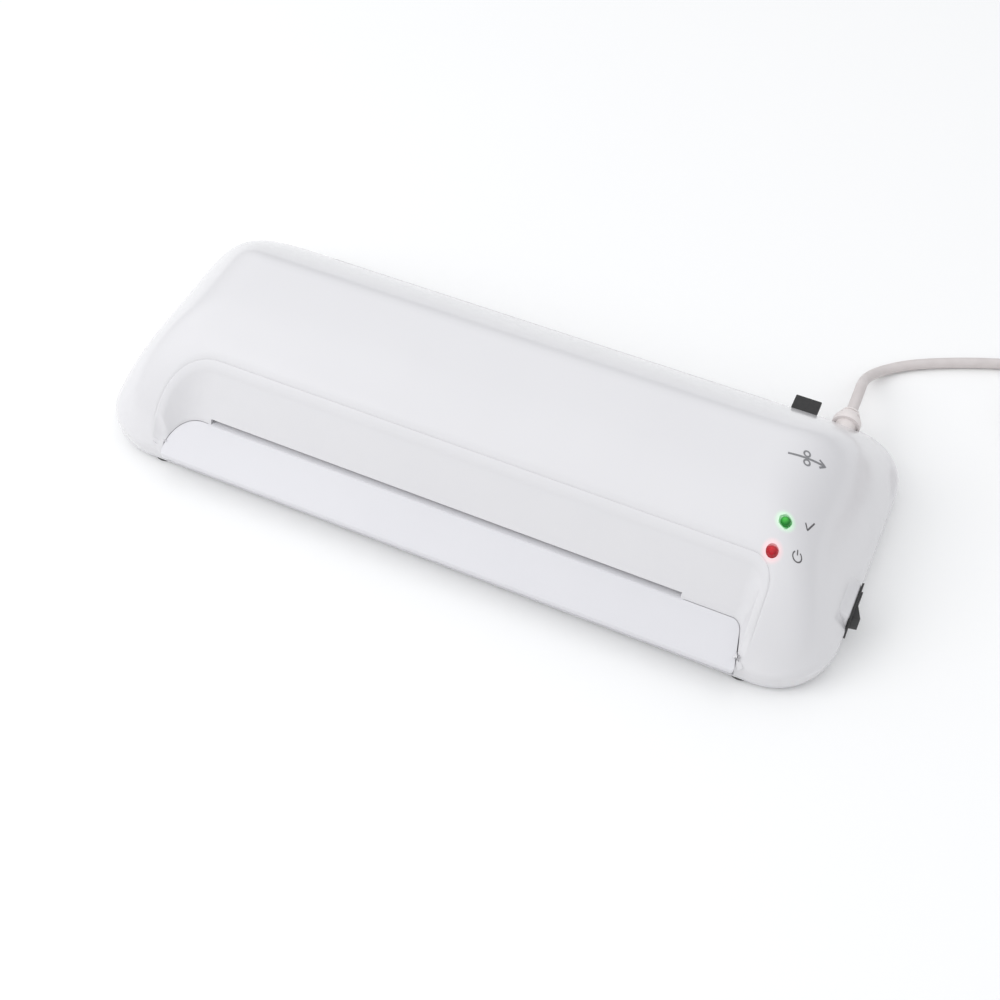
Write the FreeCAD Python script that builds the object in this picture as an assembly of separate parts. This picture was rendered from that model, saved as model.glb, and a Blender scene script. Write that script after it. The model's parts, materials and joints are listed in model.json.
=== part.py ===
import FreeCAD, Part
import math
import os

# A4 pouch laminator, millimetres, +Z up, -Y the entry side, +Y the exit side.
# Everything is drawn about the middle of the casing and moved by ORIGIN when it is
# written, so that the origin is the middle of the footprint with the rocker and the
# tray's lip counted in.

V = FreeCAD.Vector

# ---- casing -------------------------------------------------------------------------
HALF_LENGTH = 184.0
HALF_DEPTH = 75.0
CREST_Z = 65.8
CREASE_Z = 13.4
CREASE_BAND = 0.5
DOME_HEIGHT = CREST_Z - CREASE_Z - CREASE_BAND
FRONT_RUN, FRONT_POWER = 65.0, 2.54
REAR_RUN, REAR_POWER = 60.7, 1.4
END_RUN, END_POWER = 55.5, 2.3
CORNER_BLEND = 1.9
RIM_SLOPE = 1.15
RIM_RISE = 14.0
RIM_BLEND = 0.35
RIM_BLEND_MOST = 3.0
FRONT_CORNER_R = 30.0
REAR_CORNER_R = 29.0
WALL = 2.4
SKIRT_BOTTOM_Z = 4.2
SKIRT_INSET = 1.3
FLOOR_BOTTOM_Z = 1.8
FLOOR_TOP_Z = 4.0
PARTING_GAP = 0.2
DOME_COLUMNS, DOME_ROWS = 93, 51
DOME_MARGIN = 2.0
CASE_SCREWS = [(-165, -45), (-165, 42), (165, -48), (170, 48)]
CASE_SCREW_R = 1.3
FEET_XY = [(-148, -66.5), (148, -66.5), (-148, 58), (148, 58)]
FOOT_R, FOOT_STEM_R = 6.0, 4.0
FOOT_STEM = 0.8
VENT_COUNT = 12
VENT_FIRST_X, VENT_PITCH, VENT_LENGTH = -88, 16, 9
VENT_ROWS_Y = (44.0, 50.0)
VENT_WIDTH = 2.5

# ---- entry recess, tray and sheet path ----------------------------------------------
SLOT_CENTRE_X = -4.0
SLOT_HALF = 118.5
SLOT_LINE_Y = -60.0
SLOT_BOTTOM_Z = 26.0
SLOT_TOP_Z = 30.6
NIP_Z = 28.3
TRAY_LIP_Y = -77.4
TRAY_LIP_Z = 13.7
TRAY_THICKNESS = 2.2
TRAY_LEFT_X = -142.6
TRAY_RIGHT_BACK_X = 142.0
TRAY_RIGHT_FRONT_X = 146.5
TRAY_LEFT_R = 16.0
TRAY_RIGHT_R = 5.0
LIP_LINE_Y = -47.5
LIP_LINE_Z = 55.0
LIP_HALF = 146.2
LIP_LEFT_R = 25.0
LIP_RIGHT_R = 7.5
RECESS_WALL = 2.2
TRAY_RIBS_X = (-110, -66, -22, 22, 66, 106)
EXIT_SLOT_Z = (25.2, 31.4)
EXIT_GUIDE_T = 2.0
GUIDE_RIBS_X = range(-108, 109, 24)

# ---- rollers and drive --------------------------------------------------------------
ROLLER_Y = -5.0
ROLLER_R = 10.25
ROLLER_PITCH_R = 10.4
LOWER_Z = NIP_Z - ROLLER_PITCH_R
UPPER_Z = NIP_Z + ROLLER_PITCH_R
CORE_R = 5.5
JOURNAL_R = 3.0
RUNNING = 0.05
SLEEVE_X = (-121.5, 113.5)
FRAME_T = 1.2
LEFT_FRAME_X = -125.0
RIGHT_FRAME_X = 117.0
GEAR_X = (-134.4, -128.0)
GEAR_MODULE = 1.04
ROLLER_TEETH = 20
IDLER_TEETH = 24
PINION_TEETH = 12
IDLER_YZ = (17.8, 19.5)
PINION_YZ = (24.0, 37.1)
BRACKET_X = (-137.2, -136.0)
MOTOR_CENTRE_YZ = (21.5, 27.0)
MOTOR_R = 22.0
MOTOR_LENGTH = 17.5
PINION_BORE_R = 3.5
STANDOFFS_YZ = [(10.0, 51.0), (43.5, 9.0), (6.0, 6.9)]
FRAME_FEET_Y = (-34.0, 36.0)
FRAME_FOOT_LENGTH = 11.0
FRAME_SCREW_X = 6.0
BUSH_R = 5.0
TIE_RODS_YZ = [(-36.0, 13.0), (39.0, 15.0)]
BETWEEN_FRAMES_X = (LEFT_FRAME_X, RIGHT_FRAME_X)
SPRING_Z = (45.0, 53.4)
SPRING_R = 1.55
SPRING_WIRE_R = 0.35
SPRING_TURNS = 5

# ---- heaters ------------------------------------------------------------------------
HEATER_Y = (-45.6, -15.6)
HEATER_T = 2.4
ELEMENT_X = (-114.0, 106.0)
ELEMENT_T = 0.8
THERMOSTAT_XY = (-34.0, -32.0)
FUSE_X = (30.0, 42.0)
FUSE_LEAD = 8.0
FUSE_R = 1.9

# ---- release gear -------------------------------------------------------------------
RELEASE_YZ = (16.0, 38.2)
RELEASE_R = 2.5
CAM_THROW = 8.0
CAM_R = 3.0
CAM_GAP = 0.3
LEVER_X = (124.2, 137.0)
LEVER_TIP_Y = 74.2
LEVER_TAB_Z = (23.4, 26.0)
BLOCK_HALF_Y = 4.8
BLOCK_Z = (33.0, 45.0)
FRAME_SLOT_HALF = 5.0
LEVER_SLOT_Z = (15.4, 27.0)

# ---- electrical ---------------------------------------------------------------------
READY_XY = (146.1, -29.0)
POWER_XY = (145.4, -42.1)
LED_R = 2.5
SWITCH_YZ = (-27.0, 14.5)
SWITCH_FACE_X = 183.6
SWITCH_OPENING = (9.7, 6.6)
ROCKER_PIVOT_X = 181.5
ROCKER_HALF = 7.3
ROCKER_HALF_WIDTH = 4.5
ROCKER_TILT = 11.0
LED_BOARD_SCREWS = [(154.0, -35.5), (139.5, -26.0)]
LED_BOARD_Z = (42.0, 43.6)
LED_LEG_X = 1.25
BOARD_Z = (17.8, 19.4)
BOARD_SCREWS = [(130.0, -22.0), (170.0, -8.0), (130.0, 30.0), (166.0, 34.0)]
CORD_R = 2.7
CORD_EXIT = (151.2, 75.0, 24.0)
RELIEF_INNER_Y = 51.0
RELIEF_SEAT_Y = 66.0
RELIEF_NECK_R = 5.0
RELIEF_COLLAR_R = 6.8

# ---- mains lead ---------------------------------------------------------------------
COIL_CENTRE = (262.0, 134.0)
COIL_TURN_R = 31.5
COIL_HALF_WIDTH = 8.1
COIL_HEIGHT = 10.8
TABLE_Z = CORD_R + 0.1
CORD_ROUTE = [
    CORD_EXIT,
    (151.0, 91.0, 22.6),
    (150.0, 105.0, 14.4),
    (150.8, 118.0, 7.0),
    (157.2, 130.0, 3.2),
    (168.6, 139.6, TABLE_Z),
    (187.0, 149.4, TABLE_Z),
    (209.0, 158.9, TABLE_Z),
    (234.0, 166.6, TABLE_Z),
    (259.5, 170.6, TABLE_Z),
]
PLUG_FROM_COIL = (17.15, -30.5)
PLUG_HEIGHT = 13.7
PLUG_PIN_SPACING = 18.6
PLUG_PIN_R = 2.0

# The footprint runs from the tray's lip to the rear skirt and from the left end to the
# tip of the rocker.
ROCKER_REACH = 188.2
ORIGIN = V((ROCKER_REACH - HALF_LENGTH) / 2, (TRAY_LIP_Y + HALF_DEPTH) / 2, 0)

NODES = {}


def keep(name, shape):
    """Store one node, moved so that ORIGIN becomes the origin."""
    moved = shape.copy()
    moved.translate(V(-ORIGIN.x, -ORIGIN.y, 0))
    NODES[name] = moved


# ---- small helpers ------------------------------------------------------------------

def box(x0, x1, y0, y1, z0, z1):
    return Part.makeBox(x1 - x0, y1 - y0, z1 - z0, V(x0, y0, z0))


def rod_x(x0, x1, y, z, radius):
    return Part.makeCylinder(radius, x1 - x0, V(x0, y, z), V(1, 0, 0))


def rod_y(y0, y1, x, z, radius):
    return Part.makeCylinder(radius, y1 - y0, V(x, y0, z), V(0, 1, 0))


def rod_z(z0, z1, x, y, radius):
    return Part.makeCylinder(radius, z1 - z0, V(x, y, z0), V(0, 0, 1))


def cross_recess(x, y, z0, z1):
    """The driver's cross in a screw head."""
    across = box(x - 1.8, x + 1.8, y - 0.35, y + 0.35, z0, z1)
    return across.fuse(box(x - 0.35, x + 0.35, y - 1.8, y + 1.8, z0, z1))


def fuse(*shapes):
    joined = shapes[0].fuse(list(shapes[1:]))
    return joined.removeSplitter()


def group(*shapes):
    return Part.makeCompound(list(shapes))


def polygon(points):
    closed = list(points) + [points[0]]
    return Part.makePolygon([V(*p) for p in closed])


def plate_x(x0, x1, outline_yz):
    """A flat plate between two X planes, with its outline given as (y, z) points."""
    wire = polygon([(x0, y, z) for y, z in outline_yz])
    return Part.Face(wire).extrude(V(x1 - x0, 0, 0))


def arc_wire(corners, z):
    """A closed wire through corners (x, y, radius), each rounded to its radius."""
    count = len(corners)
    spans = []
    for i, (x, y, radius) in enumerate(corners):
        here = V(x, y, z)
        before = V(corners[i - 1][0], corners[i - 1][1], z)
        after = V(corners[(i + 1) % count][0], corners[(i + 1) % count][1], z)
        back = (before - here).normalize()
        ahead = (after - here).normalize()
        half = back.getAngle(ahead) / 2
        reach = radius / math.tan(half)
        middle = (back + ahead).normalize() * (radius / math.sin(half) - radius)
        spans.append((here + back * reach, here + middle, here + ahead * reach))
    edges = []
    for i, (start, middle, end) in enumerate(spans):
        edges.append(Part.Arc(start, middle, end).toShape())
        following = spans[(i + 1) % count][0]
        edges.append(Part.LineSegment(end, following).toShape())
    return Part.Wire(edges)


def casing_wire(z, inset):
    """The casing's outline at a height, moved inwards by inset."""
    x, y = HALF_LENGTH - inset, HALF_DEPTH - inset
    front, rear = FRONT_CORNER_R - inset, REAR_CORNER_R - inset
    return arc_wire([(-x, -y, front), (x, -y, front), (x, y, rear), (-x, y, rear)], z)


def prism(wire, height):
    return Part.Face(wire).extrude(V(0, 0, height))


def loft(*wires):
    return Part.makeLoft(list(wires), True, True)


# ---- the casing's dome --------------------------------------------------------------

def outline_distance(x, y, inset):
    """How far a point lies inside the casing's rounded outline."""
    radius = (FRONT_CORNER_R if y < 0 else REAR_CORNER_R) - inset
    across = abs(x) - (HALF_LENGTH - inset - radius)
    along = abs(y) - (HALF_DEPTH - inset - radius)
    if across > 0 and along > 0:
        return radius - math.hypot(across, along)
    return radius - max(across, along)


def dome_z(x, y, inset=0.0):
    """Height of the dome above a point, for the skin that lies inset below it.

    The front, rear and end faces fall away from the crest, and a rim that rises from the
    crease and soon levels off holds the corners up.
    """
    def fall(distance, run, power):
        return max(1 - distance / run, 0.0) ** power
    front = fall(y + HALF_DEPTH - inset, FRONT_RUN, FRONT_POWER)
    rear = fall(HALF_DEPTH - inset - y, REAR_RUN, REAR_POWER)
    end = fall(HALF_LENGTH - inset - abs(x), END_RUN, END_POWER)
    total = (front ** CORNER_BLEND + rear ** CORNER_BLEND + end ** CORNER_BLEND)
    dome = CREST_Z - DOME_HEIGHT * total ** (1 / CORNER_BLEND)
    inside = outline_distance(x, y, inset)
    rim = CREASE_Z + CREASE_BAND + RIM_RISE * (1 - math.exp(-RIM_SLOPE * inside / RIM_RISE))
    blend = min(RIM_BLEND_MOST, RIM_BLEND * max(inside, 0.0))
    return (dome + rim + math.hypot(dome - rim, blend)) / 2 - inset


def dome_solid(inset):
    """The space under the dome's skin, down past the table."""
    points = []
    for i in range(DOME_COLUMNS):
        x = (HALF_LENGTH + DOME_MARGIN) * (2 * i / (DOME_COLUMNS - 1) - 1)
        line = []
        for j in range(DOME_ROWS):
            y = (HALF_DEPTH + DOME_MARGIN) * (2 * j / (DOME_ROWS - 1) - 1)
            line.append(V(x, y, dome_z(x, y, inset)))
        points.append(line)
    surface = Part.BSplineSurface()
    surface.interpolate(points)
    return surface.toShape().extrude(V(0, 0, -160))


def recess_wire(z, grow):
    """The recess's outline at a height: open to the front, its left corner the wider."""
    t = (z - SLOT_BOTTOM_Z) / (LIP_LINE_Z - SLOT_BOTTOM_Z)

    def level(at_tray, at_lip):
        return at_tray + t * (at_lip - at_tray)
    back = level(SLOT_LINE_Y, LIP_LINE_Y) + grow
    left = level(TRAY_LEFT_X, -LIP_HALF) - grow
    right_back = level(TRAY_RIGHT_BACK_X, LIP_HALF) + grow
    right_front = level(TRAY_RIGHT_FRONT_X, LIP_HALF) + grow
    left_r = level(TRAY_LEFT_R, LIP_LEFT_R) + grow
    right_r = level(TRAY_RIGHT_R, LIP_RIGHT_R) + grow
    front = TRAY_LIP_Y - 4
    return arc_wire([(left, front, 0.5), (right_front, front, 0.5),
                     (right_back, back, right_r), (left, back, left_r)], z)


def recess_loft(grow):
    return loft(recess_wire(8.0, grow), recess_wire(72.0, grow))


def tray_slope_z(y):
    """Height of the tray's top face at a depth, flat inside the slot line."""
    rise = (SLOT_BOTTOM_Z - TRAY_LIP_Z) / (SLOT_LINE_Y - TRAY_LIP_Y)
    return min(SLOT_BOTTOM_Z, TRAY_LIP_Z + rise * (y - TRAY_LIP_Y))


def above_tray(lift):
    """The half space over the tray's slope, as a wide block."""
    far = TRAY_LIP_Y - 12
    wire = polygon([(-200, far, tray_slope_z(far) + lift),
                    (-200, SLOT_LINE_Y, SLOT_BOTTOM_Z + lift),
                    (-200, 0, SLOT_BOTTOM_Z + lift), (-200, 0, 90), (-200, far, 90)])
    return Part.Face(wire).extrude(V(400, 0, 0))


def tray_outline(grow):
    """The tray in plan, from its front lip to just behind the slot line."""
    left, back = TRAY_LEFT_X - grow, SLOT_LINE_Y + grow
    return arc_wire([(left, TRAY_LIP_Y, 1.2), (TRAY_RIGHT_FRONT_X + grow, TRAY_LIP_Y, 1.2),
                     (TRAY_RIGHT_BACK_X + grow, back, TRAY_RIGHT_R + grow),
                     (left, back, TRAY_LEFT_R + grow)], 0)


def make_top_cover():
    skirt = loft(casing_wire(SKIRT_BOTTOM_Z, SKIRT_INSET), casing_wire(CREASE_Z, 0))
    upper = prism(casing_wire(CREASE_Z, 0), 70)
    outer = skirt.fuse(upper).removeSplitter().common(dome_solid(0))
    inner_low = SKIRT_BOTTOM_Z - 1
    inner = prism(casing_wire(inner_low, WALL + SKIRT_INSET), 70).common(dome_solid(WALL))
    shell = outer.cut(inner)
    walls = recess_loft(RECESS_WALL).common(outer).common(above_tray(PARTING_GAP))
    walls = walls.common(box(-170, 170, -90, LIP_LINE_Y + 8, 0, 90))
    cover = shell.fuse(walls)
    cover = cover.cut(recess_loft(0).common(above_tray(-2)))
    under_tray = prism(tray_outline(PARTING_GAP), 40).cut(above_tray(PARTING_GAP))
    under_tray = under_tray.fuse(box(TRAY_LEFT_X - PARTING_GAP,
                                     TRAY_RIGHT_FRONT_X + PARTING_GAP,
                                     -95, -71.0, -5, TRAY_LIP_Z + PARTING_GAP))
    cover = cover.cut(under_tray)
    slot = box(SLOT_CENTRE_X - SLOT_HALF, SLOT_CENTRE_X + SLOT_HALF,
               -70, -50, SLOT_BOTTOM_Z - 4, SLOT_TOP_Z)
    exit_slot = box(SLOT_CENTRE_X - SLOT_HALF, SLOT_CENTRE_X + SLOT_HALF,
                    50, 90, *EXIT_SLOT_Z)
    lever_slot = box(LEVER_X[0] - 0.8, LEVER_X[1] + 0.8, 45, 90, *LEVER_SLOT_Z)
    relief_hole = rod_y(50, 90, CORD_EXIT[0], CORD_EXIT[2], RELIEF_NECK_R)
    relief_seat = rod_y(RELIEF_SEAT_Y, 90, CORD_EXIT[0], CORD_EXIT[2], RELIEF_COLLAR_R)
    cover = cover.cut(slot).cut(exit_slot).cut(lever_slot)
    cover = cover.cut(relief_hole).cut(relief_seat)
    for x, y in (READY_XY, POWER_XY):
        cover = cover.cut(rod_z(40, 80, x, y, LED_R + 0.15))
    cover = switch_pad(cover, outer)
    cover = cover_posts(cover)
    return cover.removeSplitter()


def switch_pad(cover, outer):
    """The flat pad that the rocker switch snaps into."""
    y, z = SWITCH_YZ
    half_y, half_z = SWITCH_OPENING
    pad = box(SWITCH_FACE_X - 7, SWITCH_FACE_X, y - 12.5, y + 12.5, z - 9.5, z + 9.5)
    pad = pad.common(box(150, 200, -90, 90, SKIRT_BOTTOM_Z, 60))
    trim = box(SWITCH_FACE_X, SWITCH_FACE_X + 3, y - 12.5, y + 12.5, z - 9.5, z + 9.5)
    opening = box(170, 200, y - half_y, y + half_y, z - half_z, z + half_z)
    hollow = box(170, SWITCH_FACE_X - WALL, y - 11, y + 11, z - 8, z + 8)
    return cover.fuse(pad).cut(trim).cut(opening).cut(hollow)


def cover_posts(cover):
    """Screw posts that hang from the cover, and two short ones for the LED board."""
    under = dome_solid(1.2)
    posts = []
    for x, y in CASE_SCREWS:
        posts.append(rod_z(8.0, 70, x, y, 3.6).common(under))
    for x, y in LED_BOARD_SCREWS:
        posts.append(rod_z(LED_BOARD_Z[1], 70, x, y, 2.6).common(under))
    cover = cover.fuse(posts)
    for x, y in CASE_SCREWS:
        cover = cover.cut(rod_z(7, 22, x, y, CASE_SCREW_R))
    return cover


def make_lower_housing():
    floor = loft(casing_wire(FLOOR_BOTTOM_Z, 2.4), casing_wire(FLOOR_TOP_Z, 1.6))
    rim_out = prism(casing_wire(FLOOR_TOP_Z, 4.0), 5.0)
    rim_in = prism(casing_wire(FLOOR_TOP_Z, 5.6), 5.0)
    rim = rim_out.cut(rim_in)
    switch_y, switch_z = SWITCH_YZ
    rim = rim.cut(box(170, 190, switch_y - 14, switch_y + 14, 3, 30))
    rim = rim.cut(box(TRAY_LEFT_X - 1, TRAY_RIGHT_FRONT_X + 1, -90, -60, 3, 30))
    body = floor.fuse(rim)
    body = body.fuse(make_tray())
    posts = [rod_z(FLOOR_TOP_Z, 7.8, x, y, 4.4) for x, y in CASE_SCREWS]
    posts += [rod_z(FLOOR_TOP_Z, BOARD_Z[0], x, y, 3.0) for x, y in BOARD_SCREWS]
    body = body.fuse(posts)
    for x, y in CASE_SCREWS:
        body = body.cut(rod_z(0, 9, x, y, 1.7))
        body = body.cut(rod_z(0, 3.6, x, y, 3.1))
    for x, y in FEET_XY:
        body = body.cut(rod_z(0, FLOOR_BOTTOM_Z + FOOT_STEM, x, y, FOOT_STEM_R))
    for i in range(VENT_COUNT):
        x = VENT_FIRST_X + VENT_PITCH * i
        for y in VENT_ROWS_Y:
            body = body.cut(box(x, x + VENT_LENGTH, y, y + VENT_WIDTH, 0, 9))
    return body.removeSplitter()


def make_tray():
    """The sloping entry tray, its lip, and the walls that carry it."""
    top = prism(tray_outline(0), 40).cut(above_tray(0))
    below = prism(tray_outline(5), 60)
    below.translate(V(0, 0, -10))
    under = below.cut(above_tray(-TRAY_THICKNESS * 1.24))
    plate = top.cut(under)
    plate = plate.common(box(-200, 200, -90, SLOT_LINE_Y + 1, TRAY_LIP_Z - 3.2, 60))
    guide = box(SLOT_CENTRE_X - SLOT_HALF - 1.5, SLOT_CENTRE_X + SLOT_HALF + 1.5,
                SLOT_LINE_Y - 0.5, -46.4, SLOT_BOTTOM_Z - TRAY_THICKNESS, SLOT_BOTTOM_Z)
    front_wall = box(-141.0, 142.6, -72.0, -69.8, FLOOR_TOP_Z - 0.5, 19.0)
    ribs = [box(x - 0.8, x + 0.8, -70.5, -48.0, FLOOR_TOP_Z - 0.5, 25.5)
            for x in TRAY_RIBS_X]
    carriers = front_wall.fuse(ribs).cut(above_tray(-1.0))
    carriers = carriers.common(prism(tray_outline(0), 60).fuse(
        box(-120, 120, -72, -46.4, 0, SLOT_BOTTOM_Z - 1)))
    return plate.fuse(guide).fuse(carriers)


# ---- gears --------------------------------------------------------------------------

def gear(teeth, centre_yz, phase, bore):
    """A spur gear across GEAR_X with straight flanks and working backlash."""
    pitch_r = GEAR_MODULE * teeth / 2
    tip_r = pitch_r + 0.9 * GEAR_MODULE
    root_r = pitch_r - 1.2 * GEAR_MODULE
    step = 2 * math.pi / teeth
    half_pitch = 0.43 * step / 2
    flank = math.tan(math.radians(21))
    half_root = half_pitch + flank * (pitch_r - root_r) / pitch_r
    half_tip = half_pitch - flank * (tip_r - pitch_r) / pitch_r
    y, z = centre_yz
    points = []
    for k in range(teeth):
        middle = phase + k * step
        for angle, radius in ((-half_root, root_r), (-half_tip, tip_r),
                              (half_tip, tip_r), (half_root, root_r)):
            points.append((y + radius * math.cos(middle + angle),
                           z + radius * math.sin(middle + angle)))
    body = plate_x(GEAR_X[0], GEAR_X[1], points)
    return body.cut(rod_x(GEAR_X[0] - 1, GEAR_X[1] + 1, y, z, bore))


def meshed_phase(phase, teeth, centre, other_teeth, other_centre):
    """Phase of the second gear that puts its gap on the first gear's tooth."""
    line = math.atan2(other_centre[1] - centre[1], other_centre[0] - centre[0])
    part = (phase - line) / (2 * math.pi / teeth)
    other_step = 2 * math.pi / other_teeth
    return line + math.pi + (0.5 - part) * other_step


# ---- roller assemblies --------------------------------------------------------------

def roller_shaft(z):
    core = rod_x(SLEEVE_X[0] - 1, SLEEVE_X[1] + 1, ROLLER_Y, z, CORE_R)
    journal = rod_x(GEAR_X[0] - 1.2, RIGHT_FRAME_X + FRAME_T + 3.6, ROLLER_Y, z, JOURNAL_R)
    return fuse(core, journal)


def roller_sleeve(z):
    tube = rod_x(SLEEVE_X[0], SLEEVE_X[1], ROLLER_Y, z, ROLLER_R)
    return tube.cut(rod_x(SLEEVE_X[0] - 1, SLEEVE_X[1] + 1, ROLLER_Y, z, CORE_R))


def lower_bush(frame_x, outward):
    """A flanged bush in a side frame, with its flange on the inside."""
    inner_face = frame_x
    x0 = min(inner_face - outward * 1.0, inner_face + outward * (FRAME_T + 0.3))
    x1 = max(inner_face - outward * 1.0, inner_face + outward * (FRAME_T + 0.3))
    barrel = rod_x(x0, x1, ROLLER_Y, LOWER_Z, BUSH_R)
    f0 = min(inner_face, inner_face - outward * 1.0)
    flange = rod_x(f0, f0 + 1.0, ROLLER_Y, LOWER_Z, 6.4)
    return fuse(barrel, flange).cut(rod_x(x0 - 1, x1 + 1, ROLLER_Y, LOWER_Z,
                                          JOURNAL_R + RUNNING))


def carriage_block(frame_x, outward):
    """The bearing block that slides up and down in a side frame's slot."""
    clear = 0.2
    inner = frame_x - outward * clear
    outer = frame_x + outward * (FRAME_T + clear)
    x_in = sorted((inner, inner - outward * 1.0))
    x_out = sorted((outer, outer + outward * 1.0))
    x_mid = sorted((inner, outer))
    z0, z1 = BLOCK_Z
    middle = box(x_mid[0], x_mid[1], ROLLER_Y - BLOCK_HALF_Y, ROLLER_Y + BLOCK_HALF_Y, z0, z1)
    flange_half = BLOCK_HALF_Y + 2.0
    inside = box(x_in[0], x_in[1], ROLLER_Y - flange_half, ROLLER_Y + flange_half, z0, z1)
    outside = box(x_out[0], x_out[1], ROLLER_Y - flange_half, ROLLER_Y + flange_half, z0, z1)
    arm_x = sorted((inner, inner - outward * 2.6))
    arm_z = RELEASE_YZ[1] + CAM_R + CAM_GAP
    arm = box(arm_x[0], arm_x[1], ROLLER_Y + flange_half - 0.5,
              RELEASE_YZ[0] - CAM_THROW + 3.0, arm_z, arm_z + 3.2)
    web_end = ROLLER_Y + flange_half
    web = box(x_in[0], x_in[1], web_end - 1, web_end + 4, arm_z, arm_z + 3.2)
    seat = rod_z(z1, z1 + 1.6, (x_mid[0] + x_mid[1]) / 2, ROLLER_Y, 1.1)
    seat = seat.common(box(x_in[0] if outward > 0 else x_out[0],
                           x_out[1] if outward > 0 else x_in[1], -20, 20, 0, 60))
    block = fuse(middle, inside, outside, arm, web, seat)
    return block.cut(rod_x(x_mid[0] - 3, x_mid[1] + 3, ROLLER_Y, UPPER_Z,
                           JOURNAL_R + RUNNING))


def pressure_spring(frame_x, outward):
    """A compression spring between a bearing block and its frame's top tab."""
    x = frame_x + outward * FRAME_T / 2
    height = SPRING_Z[1] - SPRING_Z[0] - 2 * SPRING_WIRE_R
    helix = Part.makeHelix(height / SPRING_TURNS, height, SPRING_R)
    start = V(SPRING_R, 0, 0)
    section = Part.Wire(Part.makeCircle(SPRING_WIRE_R, start, V(0, 1, 0)))
    coil = Part.Wire(helix).makePipeShell([section], True, True)
    coil.translate(V(x, ROLLER_Y, SPRING_Z[0] + SPRING_WIRE_R))
    return coil


# ---- frames -------------------------------------------------------------------------

def side_frame(frame_x, outward, gear_side):
    x0, x1 = sorted((frame_x, frame_x + outward * FRAME_T))
    outline = [(-43.0, FLOOR_TOP_Z), (46.0, FLOOR_TOP_Z), (46.0, 33.0), (26.0, 54.6),
               (-22.0, 54.6), (-43.0, 40.0)]
    plate = plate_x(x0, x1, outline)
    y = ROLLER_Y
    slot = box(x0 - 1, x1 + 1, y - FRAME_SLOT_HALF, y + FRAME_SLOT_HALF,
               BLOCK_Z[0] - 0.4, SPRING_Z[1])
    plate = plate.cut(slot)
    plate = plate.cut(rod_x(x0 - 1, x1 + 1, y, LOWER_Z, BUSH_R))
    plate = plate.cut(rod_x(x0 - 1, x1 + 1, RELEASE_YZ[0], RELEASE_YZ[1],
                            RELEASE_R + RUNNING))
    foot_x = sorted((frame_x - outward * FRAME_FOOT_LENGTH, frame_x + outward * FRAME_T))
    for foot_y in FRAME_FEET_Y:
        foot = box(foot_x[0], foot_x[1], foot_y - 6, foot_y + 6, FLOOR_TOP_Z,
                   FLOOR_TOP_Z + FRAME_T)
        plate = plate.fuse(foot)
        screw_x = frame_x - outward * FRAME_SCREW_X
        plate = plate.cut(rod_z(0, 10, screw_x, foot_y, 1.6))
    if gear_side:
        plate = plate.cut(rod_x(x0 - 1, x1 + 1, IDLER_YZ[0], IDLER_YZ[1], 2.0))
    return plate.removeSplitter()


def make_frame_screws():
    screws = []
    for frame_x, outward in ((LEFT_FRAME_X, -1), (RIGHT_FRAME_X, 1)):
        for y in FRAME_FEET_Y:
            x = frame_x - outward * FRAME_SCREW_X
            head = rod_z(FLOOR_TOP_Z + FRAME_T, FLOOR_TOP_Z + FRAME_T + 1.8, x, y, 2.9)
            cross = cross_recess(x, y, 6.2, 8.0)
            shank = rod_z(FLOOR_TOP_Z, FLOOR_TOP_Z + FRAME_T, x, y, 1.5)
            screws.append(fuse(head, shank).cut(cross))
    return group(*screws)


# ---- heaters and guides -------------------------------------------------------------

def heater_plate(face_z, up):
    """An aluminium heater section: a flat face to the pouch, ribs behind it."""
    y0, y1 = HEATER_Y
    back = face_z + up * HEATER_T
    rib = face_z + up * 9.0
    lead = face_z + up * 1.6
    outline = [(y0, lead), (y0 + 2.2, face_z), (y1, face_z), (y1, back), (y1 - 6.0, back),
               (y1 - 6.0, rib), (y1 - 8.0, rib), (y1 - 8.0, back), (y0 + 5.0, back),
               (y0 + 5.0, rib), (y0 + 3.0, rib), (y0 + 3.0, back), (y0, back)]
    return plate_x(BETWEEN_FRAMES_X[0], BETWEEN_FRAMES_X[1], outline)


def heating_element(back_z, up):
    """A mica heating strip that lies in its plate's channel."""
    z0, z1 = sorted((back_z, back_z + up * ELEMENT_T))
    return box(*ELEMENT_X, HEATER_Y[0] + 6.0, HEATER_Y[1] - 9.0, z0, z1)


def make_thermostat(z):
    x, y = THERMOSTAT_XY
    can = rod_z(z, z + 5.0, x, y, 7.6)
    cap = rod_z(z + 5.0, z + 9.0, x, y, 6.4)
    tabs = [box(x + side * 5 - 2.0, x + side * 5 + 2.0, y - 0.4, y + 0.4, z + 8.5, z + 14.0)
            for side in (-1, 1)]
    return fuse(can, cap, *tabs)


def make_thermal_fuse(z):
    x0, x1 = FUSE_X
    y, middle = THERMOSTAT_XY[1], z + FUSE_R
    body = rod_x(x0, x1, y, middle, FUSE_R)
    leads = [rod_x(x0 - FUSE_LEAD, x0, y, middle, 0.5),
             rod_x(x1, x1 + FUSE_LEAD, y, middle, 0.5)]
    return fuse(body, *leads)


def exit_guide(z0, z1, y0, y1, rib_z):
    """A ribbed guide plate behind the rollers, between the side frames."""
    plate = box(BETWEEN_FRAMES_X[0], BETWEEN_FRAMES_X[1], y0, y1, z0, z1)
    low, high = sorted((rib_z, (z0 + z1) / 2))
    ribs = [box(x - 0.7, x + 0.7, y0 + 3, y1 - 4, low, high) for x in GUIDE_RIBS_X]
    return fuse(plate, *ribs)


def make_tie_rods():
    rods = [rod_x(BETWEEN_FRAMES_X[0], BETWEEN_FRAMES_X[1], y, z, 2.5)
            for y, z in TIE_RODS_YZ]
    return group(*rods)


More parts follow.
